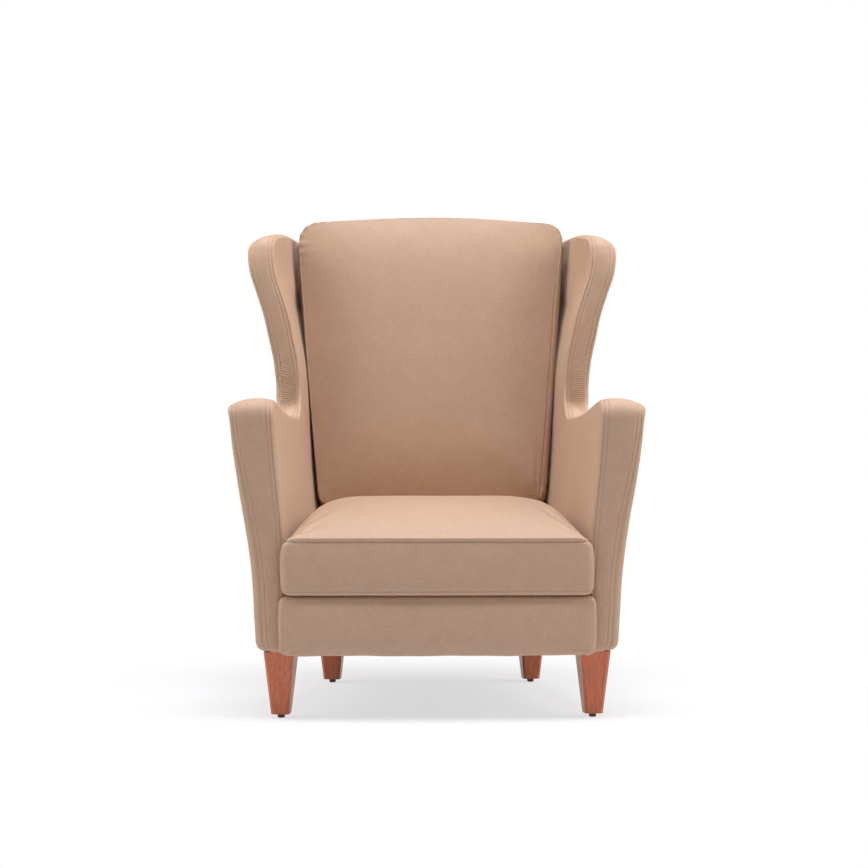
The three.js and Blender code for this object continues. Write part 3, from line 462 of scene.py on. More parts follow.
def sagged_copy(node):
    """The sheet of a CAD node cut into cells, hanging a little between its edges."""
    form = bmesh.new()
    form.from_mesh(frame["nodes"][node].data)
    bmesh.ops.remove_doubles(form, verts=form.verts, dist=welded)
    low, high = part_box(node)
    for normal in ((1, 0, 0), (0, 1, 0)):
        for step in range(1, dust_cells):
            spot = low.lerp(high, step / dust_cells)
            everything = [*form.verts, *form.edges, *form.faces]
            bmesh.ops.bisect_plane(form, geom=everything, plane_co=spot, plane_no=normal)
    span = high - low
    for vert in form.verts:
        across = math.sin(math.pi * (vert.co.x - low.x) / span.x)
        deep = math.sin(math.pi * (vert.co.y - low.y) / span.y)
        ripple = noise.noise(vert.co * dust_ripple_scale) * dust_ripple
        vert.co.z -= dust_sag * max(across * deep, 0) * (1 + ripple)
    points = [vert.co.copy() for vert in form.verts]
    faces = [[vert.index for vert in face.verts] for face in form.faces]
    form.free()
    return points, faces


spunbond = cloth_finish(
    "spunbond", ((0.035, 0.034, 0.033), (0.022, 0.021, 0.021), (0.014, 0.014, 0.014)), 1400, 60, (0.8, 0.95),
    0.0002, 0.4,
)
under_cloth = new_piece("under_cloth", *sagged_copy("dust_cover"), spunbond, "frame", "webbing", smooth=False)
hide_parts("dust_cover")

# The seat deck: a padded platform of the seat cloth over the springs, which the cushion hides.
# Its front strip is sewn on with a seam a hand behind the front rail.
nap_light = (0.524, 0.342, 0.226)
nap_body = (0.514, 0.333, 0.218)
nap_dark = (0.504, 0.324, 0.210)
napped_cloth = cloth_finish(
    "napped_cloth", (nap_dark, nap_body, nap_light), 1500, 34, (0.50, 0.66), 0.00010, 0.11,
    Sheen_Weight=0.4, Sheen_Roughness=0.28, Sheen_Tint=(1.0, 0.80, 0.63, 1), Specular_IOR_Level=0.5,
)
thread_finish = cloth_finish(
    "sewing_thread", ((0.62, 0.44, 0.32), (0.55, 0.38, 0.27), (0.46, 0.30, 0.21)), 2600, 90, (0.5, 0.7),
    0.0001, 0.1, Sheen_Weight=0.2,
)


rumple_steps = (7.3, 3.1, 5.7)


def rumple(points, scale, seed):
    """A smooth random height at each point, between -1 and 1."""
    offset = Vector([seed * step for step in rumple_steps])
    heights = [noise.noise(Vector(point) * scale + offset) for point in points.reshape(-1, 3)]
    return np.reshape(heights, points.shape[:-1])


def grid_faces(rows, columns, ring=False, start=0):
    """Quads over a grid of points stored row by row; a ring joins its last column to its first."""
    faces = []
    for row in range(rows - 1):
        for column in range(columns if ring else columns - 1):
            low, after = start + row * columns, (column + 1) % columns
            faces.append((low + column, low + after, low + columns + after, low + columns + column))
    return faces


def rim_of(rows, columns):
    """The indices round the edge of a grid, in order."""
    rim = list(range(columns)) + [row * columns + columns - 1 for row in range(1, rows)]
    rim += [(rows - 1) * columns + column for column in range(columns - 2, -1, -1)]
    return rim + [row * columns for row in range(rows - 2, 0, -1)]


def slab_faces(rows, columns):
    """The faces of two grids of points, one over the other, joined round their rims."""
    count = rows * columns
    faces = grid_faces(rows, columns) + [face[::-1] for face in grid_faces(rows, columns, start=count)]
    rim = rim_of(rows, columns)
    return faces + [
        (second, first, first + count, second + count) for first, second in zip(rim, rim[1:] + rim[:1])
    ]


def smooth(share):
    """0 up to 0, 1 from 1 on and a smooth rise between them."""
    share = np.clip(share, 0, 1)
    return share * share * (3 - 2 * share)


def eased(values, edge):
    """0 at both ends of 0..1, rising smoothly to 1 over an edge share."""
    return smooth(np.minimum(values, 1 - values) / edge)


def groove(distance, width):
    """1 in the middle of a groove, fading to 0 on both sides."""
    return np.exp(-(distance / width) ** 2)


deck_low, deck_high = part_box("seat_deck")
deck_rows, deck_columns = 60, 60
deck_sink = 0.001
deck_ends = 0.03
deck_pad = 0.004
deck_pad_share = 0.05
deck_rumple = 0.0006
deck_seam_place = 0.16
deck_seam_width = 0.012
deck_seam_depth = 0.002


def deck_mesh():
    """A closed slab inside the solid's own faces, softly padded, with one sewn seam."""
    vertices = np.array([vertex.co for vertex in frame["nodes"]["seat_deck"].data.vertices])
    front = vertices[vertices[:, 1] < deck_low.y + deck_ends]
    rear = vertices[vertices[:, 1] > deck_high.y - deck_ends]
    points = []
    for pick in (np.max, np.min):
        front_z, rear_z = pick(front[:, 2]), pick(rear[:, 2])
        for deep in np.linspace(0, 1, deck_rows):
            half = (1 - deep) * front[:, 0].max() + deep * rear[:, 0].max() - deck_sink
            y = deck_low.y + deck_sink + deep * (deck_high.y - deck_low.y - 2 * deck_sink)
            z = (1 - deep) * front_z + deep * rear_z
            points += [(across * half, y, z) for across in np.linspace(-1, 1, deck_columns)]
    points = np.array(points)
    top = slice(0, deck_rows * deck_columns)
    deep = np.repeat(np.linspace(0, 1, deck_rows), deck_columns)
    across = np.tile(np.linspace(0, 1, deck_columns), deck_rows)
    soft = eased(deep, deck_pad_share) * eased(across, deck_pad_share)
    points[top, 2] -= deck_pad * (1 - soft)
    points[top, 2] -= deck_seam_depth * groove(deep - deck_seam_place, deck_seam_width)
    points[top, 2] += deck_rumple * rumple(points[top], 12, 1)
    points[top.stop:, 2] += deck_sink
    return points, slab_faces(deck_rows, deck_columns)


deck_cloth = new_piece("seat_deck_cloth", *deck_mesh(), napped_cloth, "frame", "cloth")
faces_out(deck_cloth)
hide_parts("seat_deck")

# The padded sides: one cover a side over wadding and foam, nailed under the seat rail and behind
# the back. A band runs up the front, over the arm and up the wing, sewn in between the inner
# and the outer cloth with a raised seam and a row of topstitching along each of its edges.
arm_low, arm_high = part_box("right_arm_upholstery")
wing_low, wing_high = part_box("right_wing_upholstery")
lift_axis = next(joint["axis"] for joint in frame["joints"] if joint["name"] == "back_cushion_lift")
back_lean = math.atan2(lift_axis[1], lift_axis[2])
side_front = arm_low.y - leg_line
side_foot = arm_low.z
side_top = wing_high.z + 0.004
arm_root = wing_low.z
wing_foot = wing_low.y - leg_line
arm_rise = arm_high.z - arm_root
side_rear = wing_high.y - leg_line
wing_setback = 0.066
side_halves = {"inner": 0.289, "outer": 0.3585}
arm_flares = {"inner": 0.033, "outer": 0.0505}
wing_flares = {"inner": 0.067, "outer": 0.071}
tapers = {"inner": 0.085, "outer": 0.17}
wing_wadding = 0.006
wing_wadding_share = 0.12
foot_turn = 0.022
foot_draw = 0.009
top_draw = 0.012
top_draw_shares = [[0.9, 0], [0.95, 0.14], [0.985, 0.55], [1, 1]]
wing_fill = 0.020
wing_fill_shares = [[0.5, 0], [0.62, 0.12], [0.72, 0.7], [0.82, 1], [1, 1]]
wing_fill_reach = 0.13
arm_flare_shares = [[0, 0], [0.14, 0.07], [0.36, 0.2], [0.53, 0.41], [0.73, 0.7], [0.9, 0.91], [1, 1]]
wing_flare_shares = [
    [0, 0], [0.18, 0.07], [0.3, 0.155], [0.42, 0.3], [0.54, 0.45], [0.67, 0.69], [0.78, 0.9], [0.92, 1],
    [1, 1],
]
arm_top_shares = [
    [0, 0.96], [0.05, 1], [0.14, 0.93], [0.3, 0.66], [0.46, 0.36], [0.62, 0.16], [0.8, 0.04], [1, 0],
]
wing_front_shares = [
    [0, 0], [0.015, 0.26], [0.04, 0.48], [0.08, 0.72], [0.13, 0.88], [0.25, 1], [0.5, 1.02], [0.7, 1.05],
    [0.82, 1.12], [0.9, 1.24], [0.95, 1.42], [0.985, 1.85], [1, 2.6],
]


def through(rows, places):
    """A smooth curve through [place, value] rows, held level past both ends."""
    at, value = np.array(rows, float).T
    slope = np.gradient(value, at)
    spot = np.clip(places, at[0], at[-1])
    low = np.clip(np.searchsorted(at, spot, side="right") - 1, 0, len(at) - 2)
    span = at[low + 1] - at[low]
    t = (spot - at[low]) / span
    return (
        value[low] * (1 + 2 * t) * (1 - t) ** 2
        + slope[low] * span * t * (1 - t) ** 2
        + value[low + 1] * t * t * (3 - 2 * t)
        + slope[low + 1] * span * t * t * (t - 1)
    )


def side_face(y, z, face):
    """Half the chair's width to the inner or outer face of a side, at a depth and a height."""
    up_wing = (z - arm_root) / (side_top - arm_root)
    arm = through(arm_flare_shares, (z - side_foot) / (arm_root - side_foot))
    wing = through(wing_flare_shares, up_wing)
    wide = side_halves[face] + arm_flares[face] * arm + wing_flares[face] * wing - tapers[face] * y
    if face == "inner":
        deep = smooth((y - wing_foot - wing_setback) / wing_fill_reach)
        return wide - wing_fill * through(wing_fill_shares, up_wing) * deep
    turned_in = foot_draw * np.clip(1 - (z - side_foot) / foot_turn, 0, 1) ** 2
    drawn = top_draw * through(top_draw_shares, up_wing)
    return wide - turned_in - drawn + wing_wadding * smooth(up_wing / wing_wadding_share)


def rear_line(z):
    return side_rear - (side_top - z) * math.tan(back_lean)


foot_roll = 0.010
nose_radius = 0.036
path_step = 0.001
path_softness = 5
turn_points = 40
arm_points = 90
wing_points = 160
wing_closeness = 0.8


def quarter_turn(centre, radius, start, stop, count=turn_points):
    angles = np.radians(np.linspace(start, stop, count))
    return np.stack([centre[0] + radius * np.cos(angles), centre[1] + radius * np.sin(angles)], 1)


def measured(path):
    """The length along a path at each of its points."""
    return np.concatenate([[0], np.cumsum(np.linalg.norm(np.diff(path, axis=0), axis=1))])


def at_lengths(path, lengths):
    along = measured(path)
    return np.stack([np.interp(lengths, along, column) for column in path.T], 1)


def softened(path, width):
    """A path smoothed over a few of its steps, with its ends kept."""
    reach = 3 * width
    weight = np.exp(-0.5 * (np.arange(-reach, reach + 1) / width) ** 2)
    weight /= weight.sum()
    before = 2 * path[0] - path[reach:0:-1]
    after = 2 * path[-1] - path[-2:-reach - 2:-1]
    longer = np.concatenate([before, path, after])
    return np.stack([np.convolve(column, weight, "valid") for column in longer.T], 1)


def free_edge():
    """The outline of a side seen from the side: up the front, over the nose, along the arm, up
    the front of the wing and back over its top."""
    nose_top = arm_root + arm_rise
    front = [
        quarter_turn((side_front + foot_roll, side_foot + foot_roll), foot_roll, 270, 180),
        quarter_turn((side_front + nose_radius, nose_top - nose_radius), nose_radius, 180, 90),
    ]
    depth = np.linspace(side_front + nose_radius, wing_foot, arm_points)[1:]
    arm_share = (depth - side_front) / (wing_foot - side_front)
    arm = np.stack([depth, arm_root + arm_rise * through(arm_top_shares, arm_share)], 1)
    share = np.linspace(0, 1, wing_points)[1:] ** wing_closeness
    wing = np.stack([
        wing_foot + wing_setback * through(wing_front_shares, share),
        arm_root + (side_top - arm_root) * share,
    ], 1)
    path = np.concatenate([*front, arm, wing, [[side_rear, side_top]]])
    path = at_lengths(path, np.arange(0, measured(path)[-1], path_step))
    return softened(path, path_softness)


edge_path = free_edge()
edge_lengths = measured(edge_path)
gather_low = 0.006
gather_high = 0.150
gathered_step = 0.0011
turned_step = 0.003
plain_step = 0.006
sharp_turn = 0.008
step_softness = 4


def column_lengths():
    """Where the cross-sections lie along the free edge: close together over the gathers."""
    height = edge_path[:, 1] - arm_root
    gathered = (edge_path[:, 0] > wing_foot) & (height > gather_low) & (height < gather_high)
    turn = np.abs(np.gradient(np.unwrap(np.arctan2(*np.gradient(edge_path, axis=0).T))))
    step = np.where(gathered, gathered_step, np.where(turn > sharp_turn, turned_step, plain_step))
    step = softened(step[:, None], step_softness)[:, 0]
    density = np.concatenate([[0], np.cumsum(path_step / step)])[:-1]
    return np.interp(np.linspace(0, density[-1], int(density[-1])), density, edge_lengths)


base_reach = 0.035
base_top_drop = 0.045
base_shares = [
    [0, 0], [0.08, 0.06], [0.22, 0.16], [0.34, 0.27], [0.46, 0.36], [0.56, 0.44], [0.62, 0.53], [0.72, 0.68],
    [0.84, 0.86], [0.93, 0.95], [1, 1],
]
edge_radii = {
    "inner": [[0, 0.008], [0.3, 0.008], [0.5, 0.006], [1, 0.006]],
    "outer": [[0, 0.020], [0.17, 0.019], [0.28, 0.0085], [0.36, 0.0085], [0.5, 0.0085], [1, 0.0075]],
}
corner_drop = 0.014
corner_drops = [
    [0.22, 0], [0.32, 0.9], [0.37, 1.2], [0.44, 0.8], [0.55, 0.2], [0.64, 0], [0.74, 0], [0.8, 0.5],
    [0.86, 1.5], [0.92, 1.9], [1, 1.9],
]
corner_power = 2.8
corner_fade = 0.06
least_slant = 0.45
stitch_inset = 0.0078
seam_offsets = [0, 0.0007, 0.0014, 0.0026, 0.0045, 0.0064, 0.0071, stitch_inset, 0.0085, 0.0105, 0.013]
band_crown = 0.0035
band_crown_power = 0.8
crowned_band = 0.04
seam_room = 2.2
face_columns = 15
round_columns = 9
band_columns = 9
base_columns = (0.1, 0.35, 0.65, 0.9)
seam_depth = 0.0017
seam_width = 0.0011
stitch_depth = 0.0010
gather_window = [[0, 0], [0.12, 0.9], [0.5, 1], [0.8, 0.5], [1, 0]]
gather_pitch = 0.0052
gather_depth = 0.0012
gather_arch = 0.004
gather_slant = 0.011
gather_drift = 0.85
gather_end_power = 0.2
face_puffs = {"inner": -0.0012, "outer": 0.0035}
face_puff_power = 0.6
side_rumple = 0.0009
side_fine_rumple = 0.0004


def side_lines():
    """At each cross-section: its length along the free edge, the place there, the direction out of
    the side and the way from there to the nailed base."""
    lengths = column_lengths()
    tip = at_lengths(edge_path, lengths)
    ahead = np.gradient(edge_path, axis=0)
    ahead /= np.linalg.norm(ahead, axis=1)[:, None]
    ahead = np.stack([np.interp(lengths, edge_lengths, column) for column in ahead.T], 1)
    base_top = side_top - base_top_drop
    base_path = np.array([
        [side_front + foot_roll + base_reach, side_foot], [rear_line(side_foot), side_foot],
        [rear_line(base_top), base_top],
    ])
    base = at_lengths(base_path, through(base_shares, lengths / edge_lengths[-1]) * measured(base_path)[-1])
    return lengths, tip, np.stack([-ahead[:, 1], ahead[:, 0]], 1), base - tip


def cheek(face, radius, tip, way, slant):
    """One face of a side from its base to the seam: flat columns, then the rounded edge."""
    reach = np.linalg.norm(way, axis=1)
    columns = []
    for share in np.linspace(0, 1, face_columns)[:-1]:
        inset = reach - share * (reach - radius / slant)
        spot = tip + way * (inset / reach)[:, None]
        swell = face_puffs[face] * math.sin(math.pi * share) ** face_puff_power
        columns.append(np.stack([side_face(*spot.T, face) + swell, *spot.T], 1))
    for angle in np.linspace(0, math.pi / 2, round_columns)[:-1]:
        inset = radius * (1 - math.sin(angle)) / slant
        spot = tip + way * (inset / reach)[:, None]
        turned = radius * (1 - math.cos(angle)) * (1 if face == "inner" else -1)
        columns.append(np.stack([side_face(*spot.T, face) + turned, *spot.T], 1))
    return columns


def band_places(band):
    """Where the columns of the band lie across it, closest together over its two seams."""
    narrow = np.minimum(1, band / (seam_room * seam_offsets[-1]))
    first = seam_offsets[-1] * narrow
    last = band - first
    shares = np.linspace(0, 1, band_columns + 2)[1:-1]
    near = [offset * narrow for offset in seam_offsets]
    far = [band - offset for offset in reversed(near)]
    return near + [first + (last - first) * share for share in shares] + far


def drawn_depth(grid, tip, lengths, share, seams, seed):
    """How deep the cloth of a side lies under its smooth form: at the seams and the topstitching,
    between the gathers across the band, and where the padding is uneven."""
    along_row = np.cumsum(np.linalg.norm(np.diff(grid, axis=1, prepend=grid[:, :1]), axis=2), axis=1)
    depth = np.zeros(grid.shape[:2])
    for columns, deepest in seams:
        for column in columns:
            depth += deepest * groove(along_row - along_row[:, column:column + 1], seam_width)
    climb = (tip[:, 1] - arm_root - gather_low) / (gather_high - gather_low)
    window = np.where(tip[:, 0] > wing_foot, through(gather_window, climb), 0)
    sweep = gather_arch * (1 - (2 * share - 1) ** 2) + gather_slant * share
    drift = gather_drift * rumple(grid, 26, seed + 2)
    wave = np.sin(2 * math.pi * (lengths[:, None] - sweep) / gather_pitch + 2 * math.pi * drift)
    depth += gather_depth * window[:, None] * np.sin(math.pi * share) ** gather_end_power * wave
    depth -= side_rumple * rumple(grid, 7, seed) + side_fine_rumple * rumple(grid, 28, seed + 1)
    depth[:, -len(base_columns):] = 0
    return depth


def side_surface(seed):
    """The right side as a grid of points: each row is one closed cross-section. It also gives the
    directions off the cloth and the columns that the two rows of topstitching follow."""
    lengths, tip, out, way = side_lines()
    path_share = lengths / edge_lengths[-1]
    slant = np.clip(-(way * out).sum(1) / np.linalg.norm(way, axis=1), least_slant, 1)
    radii = {face: through(rows, path_share) for face, rows in edge_radii.items()}
    inner, outer = (cheek(face, radii[face], tip, way, slant) for face in ("inner", "outer"))
    left = side_face(*tip.T, "inner") + radii["inner"]
    outermost = side_face(*tip.T, "outer")
    band = outermost - radii["outer"] - left
    places = band_places(band)
    middle = []
    for place in places:
        arch = (1 - (2 * (place / band) - 1) ** 2) ** band_crown_power
        spot = tip + out * (band_crown * np.minimum(1, band / crowned_band) * arch)[:, None]
        middle.append(np.stack([left + place, *spot.T], 1))
    bottom = [outer[0] + (inner[0] - outer[0]) * share for share in base_columns]
    grid = np.stack(inner + middle + outer[::-1] + bottom, 1)
    lateral = np.clip((grid[:, :, 0] - left[:, None]) / (outermost - left)[:, None], 0, 1)
    faded = groove(np.linalg.norm(grid[:, :, 1:] - tip[:, None], axis=2), corner_fade)
    drop = corner_drop * through(corner_drops, path_share)[:, None] * lateral ** corner_power * faded
    grid[:, :, 1:] -= out[:, None] * drop[:, :, None]
    start, stop = len(inner), len(inner) + len(places)
    stitch = seam_offsets.index(stitch_inset)
    stitch_columns = (start + stitch, stop - 1 - stitch)
    share = np.zeros(grid.shape[:2])
    share[:, start:stop] = np.clip(np.stack(places, 1) / band[:, None], 0, 1)
    seams = (((start, stop - 1), seam_depth), (stitch_columns, stitch_depth))
    depth = drawn_depth(grid, tip, lengths, share, seams, seed)
    normal = np.cross(np.gradient(grid, axis=0), np.roll(grid, -1, 1) - np.roll(grid, 1, 1))
    normal /= np.maximum(np.linalg.norm(normal, axis=2), 1e-12)[:, :, None]
    if (normal[:, (start + stop) // 2, 1:] * out).sum() < 0:
        normal = -normal
    return grid - normal * depth[:, :, None], normal, stitch_columns


stitch_pitch = 0.0056
stitch_length = 0.0036
stitch_radius = 0.00042
stitch_sides = 5
stitch_shoulders = (0.2, 0.8)
side_stitch_lift = 0.0002
side_seeds = {"right": 11, "left": 23}


def stitches(lines):
    """Thread dashes laid along lines of points, each with the direction that stands off the cloth."""
    points, faces = [], []
    for line, lift in lines:
        lengths = measured(line)
        for start in np.arange(stitch_pitch, lengths[-1] - stitch_pitch, stitch_pitch):
            ends = at_lengths(line, np.array([start, start + stitch_length]))
            spot = np.searchsorted(lengths, start)
            up = lift[min(spot, len(lift) - 1)]
            ahead = ends[1] - ends[0]
            side = np.cross(ahead / np.linalg.norm(ahead), up)
            hub = len(points)
            points += [end - up * stitch_radius for end in ends]
            for share in stitch_shoulders:
                centre = ends[0] + ahead * share + up * stitch_radius / 2
                for step in range(stitch_sides):
                    angle = 2 * math.pi * step / stitch_sides
                    points.append(centre + stitch_radius * (math.cos(angle) * side + math.sin(angle) * up))
            first, second = hub + 2, hub + 2 + stitch_sides
            for step in range(stitch_sides):
                after = (step + 1) % stitch_sides
                faces.append((hub, first + after, first + step))
                faces.append((first + step, first + after, second + after, second + step))
                faces.append((hub + 1, second + step, second + after))
    return points, faces


def stood(points):
    """Points measured from the line of the front legs, in the frame of the whole chair."""
    return points + np.array([0, leg_line, 0])


for hand, side in ((1, "right"), (-1, "left")):
    surface, outward, stitch_columns = side_surface(side_seeds[side])
    surface = stood(surface * [hand, 1, 1])
    outward = outward * [hand, 1, 1]
    rows, columns = surface.shape[:2]
    skin = grid_faces(rows, columns, ring=True)
    skin += [tuple(range(start, start + columns)) for start in (0, (rows - 1) * columns)]
    cover = new_piece(
        f"{side}_side_cover", surface.reshape(-1, 3), skin, napped_cloth, "frame", "cloth",
    )
    faces_out(cover)
    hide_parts(f"{side}_arm_upholstery", f"{side}_wing_upholstery")
    lines = [
        (surface[:, column] + outward[:, column] * side_stitch_lift, outward[:, column])
        for column in stitch_columns
    ]
    new_piece(f"{side}_side_topstitching", *stitches(lines), thread_finish, "frame", "cloth")

# The inside back: a padded panel nailed to the back frame between the wings and rolled over the
# top rail. It shows only as a strip on each side of the loose back cushion and from above.
back_line = (0.549, 0.230)
inside_gap = 0.0018
inside_foot = 0.004
inside_thickness = 0.0366
inside_roll_front = 0.016
inside_roll_rear = 0.006
inside_roll_depth = 0.0675
inside_roll_height = 0.0175
inside_rows = 60
inside_roll_rows = 8
inside_crown = 0.0012
inside_seam_inset = 0.0125
inside_seam_size = 0.0016
inside_edge_size = 0.003
inside_shares = [0, 0.004, 0.012, 0.019, 0.0225, 0.026, 0.034]
inside_middle = 0.06
inside_columns = 23


def lean_place(depth, rise):
    """The y and z of a place in the leaning back: its depth behind the front and its rise along it."""
    return (
        back_line[0] + depth * math.cos(back_lean) + rise * math.sin(back_lean),
        back_line[1] - depth * math.sin(back_lean) + rise * math.cos(back_lean),
    )


def rise_to(depth, z):
    return (z - back_line[1] + depth * math.sin(back_lean)) / math.cos(back_lean)


def inside_back_profile():
    """The section of the panel from the front: up its face, over the roll and down behind it."""
    head = rise_to(0, side_top)
    shoulder = head - inside_roll_front
    hollow = head - inside_roll_height
    rear = inside_roll_depth - inside_roll_rear
    profile = [(0, rise) for rise in np.linspace(inside_foot, shoulder, inside_rows)]
    front_roll = quarter_turn((inside_roll_front, shoulder), inside_roll_front, 180, 90, inside_roll_rows + 1)
    profile += list(front_roll)[1:]
    profile += [(depth, head + inside_crown) for depth in np.linspace(inside_roll_front, rear, 7)[1:-1]]
    profile += list(quarter_turn((rear, head - inside_roll_rear), inside_roll_rear, 90, 0, 6))
    profile += [(inside_roll_depth, hollow), (inside_thickness, hollow)]
    profile += [(inside_thickness, rise) for rise in np.linspace(hollow, inside_foot, 12)[1:]]
    return profile


def spread_shares(ends, middle, count):
    """Shares across a panel, closer together along its edges."""
    return np.concatenate([ends, np.linspace(middle, 1 - middle, count), 1 - np.array(ends)[::-1]])


def inside_back_mesh():
    across = spread_shares(inside_shares, inside_middle, inside_columns)
    profile = inside_back_profile()
    rows, columns = len(profile), len(across)
    points = np.empty((rows, columns, 3))
    for row, (depth, rise) in enumerate(profile):
        y, z = lean_place(depth, rise)
        half = float(side_face(y, z, "inner")) - inside_gap
        points[row, :, 0] = (2 * across - 1) * half
        points[row, :, 1:] = (y, z)
    inset = np.minimum(across, 1 - across) * 2 * points[0, -1, 0]
    sunk = inside_seam_size * groove(inset - inside_seam_inset, inside_seam_size)
    sunk += inside_edge_size * groove(inset, inside_edge_size)
    outward = np.array([0, -math.cos(back_lean), math.sin(back_lean)])
    points[:inside_rows + inside_roll_rows] -= outward * sunk[:, None]
    last = (rows - 1) * columns
    faces = grid_faces(rows, columns)
    faces += [(last + column, last + column + 1, column + 1, column) for column in range(columns - 1)]
    faces += [tuple(row * columns + column for row in range(rows)) for column in (0, columns - 1)]
    return stood(points.reshape(-1, 3)), faces


inside_back = new_piece("inside_back_cloth", *inside_back_mesh(), napped_cloth, "frame", "cloth")
faces_out(inside_back)
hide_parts("inside_back_pad")

# The outside back: the same cloth over thin wadding, drawn over the rear of the frame. Its edges
# are rolled and closed down both sides by a row of topstitching.
board_depth = 0.068
board_wall = 0.008
board_roll = 0.0045
board_roll_reach = 0.006
board_side_gap = 0.0005
board_end_gap = 0.005
board_puff = 0.004
board_puff_share = 0.4
board_head_inset = 0.004
board_head_shares = [[0, 0], [0.95, 0], [0.985, 0.5], [1, 1]]
board_stitch_share = 0.0135
board_stitch_inset = 0.009
board_stitch_width = 0.0018
board_stitch_depth = 0.0012
board_stitch_end = 4
board_rumple = 0.0011
board_rumple_share = 0.08
board_shares = [0, 0.003, 0.007, 0.011, board_stitch_share, 0.016, 0.0185, 0.022, 0.03, 0.045]
board_middle = 0.07
board_rows = 70
board_columns = 44


def outside_back_mesh():
    """The board as two grids joined round their rim, and the two lines of its topstitching."""
    foot = rise_to(board_depth, side_foot) + board_end_gap
    head = rise_to(board_depth, side_top) - board_end_gap
    deep_shares = spread_shares(board_shares, board_middle, board_rows)
    wide_shares = spread_shares(board_shares, board_middle, board_columns)
    rows, columns = len(deep_shares), len(wide_shares)
    front = np.empty((rows, columns, 3))
    for row, share in enumerate(deep_shares):
        y, z = lean_place(board_depth, foot + share * (head - foot))
        tuck = board_head_inset * float(through(board_head_shares, share))
        half = float(side_face(y, z, "outer")) - tuck - board_side_gap
        front[row, :, 0] = (2 * wide_shares - 1) * half
        front[row, :, 1:] = (y, z)
    away = np.array([0, math.cos(back_lean), -math.sin(back_lean)])
    side_reach = np.minimum(wide_shares, 1 - wide_shares)[None, :] * 2 * front[:, -1:, 0]
    end_reach = (np.minimum(deep_shares, 1 - deep_shares) * (head - foot))[:, None]
    roll = np.clip(np.minimum(side_reach, end_reach) / board_roll_reach, 0, 1)
    drop = board_roll * (1 - np.sqrt(np.maximum(1 - (1 - roll) ** 2, 0)))
    drop += board_stitch_depth * groove(side_reach - board_stitch_inset, board_stitch_width)
    drop -= board_puff * np.outer(eased(deep_shares, board_puff_share), eased(wide_shares, board_puff_share))
    drop -= board_rumple * rumple(front, 5, 5) * eased(wide_shares, board_rumple_share)[None]
    rear = front + away * (board_wall - drop)[:, :, None]
    lines = []
    stitch_column = board_shares.index(board_stitch_share)
    for column in (stitch_column, columns - 1 - stitch_column):
        line = stood(rear[board_stitch_end:-board_stitch_end, column])
        lines.append((line, np.tile(away, (len(line), 1))))
    points = stood(np.concatenate([front.reshape(-1, 3), rear.reshape(-1, 3)]))
    return points, slab_faces(rows, columns), lines


board_points, board_faces, board_lines = outside_back_mesh()
outside_back = new_piece("outside_back_cloth", board_points, board_faces, napped_cloth, "frame", "cloth")
faces_out(outside_back)
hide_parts("outside_back_panel")
new_piece("outside_back_topstitching", *stitches(board_lines), thread_finish, "frame", "cloth")

# The front rail pad: cloth drawn over thick wadding on the front rail and pleated under at its
# two lower corners. It stands proud of the arms and runs into the seam under the seat cushion.
corner_pull = 0.72
corner_steps = 14
side_steps = 60
corner_closeness = 0.55
skew_reach = 1.15


def rounded_outline(corners, counts):
    """A closed outline from [x, y, radius, bow] corners. It starts in the middle of the first
    corner's curve, and its points lie closer together near the corners."""
    at = [np.array(corner[:2], float) for corner in corners]
    arcs = []
    for i, (_, _, radius, _) in enumerate(corners):
        before, after = at[i - 1] - at[i], at[(i + 1) % 4] - at[i]
        start = at[i] + before / np.linalg.norm(before) * radius
        stop = at[i] + after / np.linalg.norm(after) * radius
        first = start + (at[i] - start) * corner_pull
        second = stop + (at[i] - stop) * corner_pull
        t = np.linspace(0, 1, 2 * corner_steps + 1)[:, None]
        arcs.append(
            (1 - t) ** 3 * start + 3 * (1 - t) ** 2 * t * first + 3 * (1 - t) * t * t * second + t ** 3 * stop
        )
    outline = []
    for i, (_, _, _, bow) in enumerate(corners):
        leaving, reached = arcs[i][corner_steps:], arcs[(i + 1) % 4][:corner_steps + 1]
        run = reached[0] - leaving[-1]
        bowed = np.array([run[1], -run[0]]) / np.linalg.norm(run) * bow
        t = np.linspace(0, 1, side_steps)[1:-1, None]
        line = np.concatenate([leaving, leaving[-1] + run * t + bowed * np.sin(math.pi * t), reached])
        share = np.linspace(0, 1, counts[i % 2] + 1)
        share -= corner_closeness * np.sin(2 * math.pi * share) / (2 * math.pi)
        outline.append(at_lengths(line, share * measured(line)[-1])[:-1])
    return np.concatenate(outline)


def drawn_in(outline, inset):
    """A closed outline moved inwards, square to itself."""
    along = np.roll(outline, -1, 0) - np.roll(outline, 1, 0)
    along /= np.linalg.norm(along, axis=1)[:, None]
    return outline + np.stack([-along[:, 1], along[:, 0]], 1) * np.reshape(inset, (-1, 1))


def panel_within(outline, counts):
    """The points of a panel stretched evenly between the four sides of its outline."""
    wide, deep = counts
    closed = np.concatenate([outline, outline[:1]])
    low = closed[:wide + 1]
    right = closed[wide:wide + deep + 1]
    high = closed[wide + deep:2 * wide + deep + 1][::-1]
    left = closed[2 * wide + deep:][::-1]
    u = np.linspace(0, 1, wide + 1)[None, :, None]
    v = np.linspace(0, 1, deep + 1)[:, None, None]
    panel = (
        (1 - v) * low[None] + v * high[None] + (1 - u) * left[:, None] + u * right[:, None]
        - (1 - u) * (1 - v) * low[0] - u * (1 - v) * low[-1] - (1 - u) * v * high[0] - u * v * high[-1]
    )
    return panel.reshape(-1, 2)


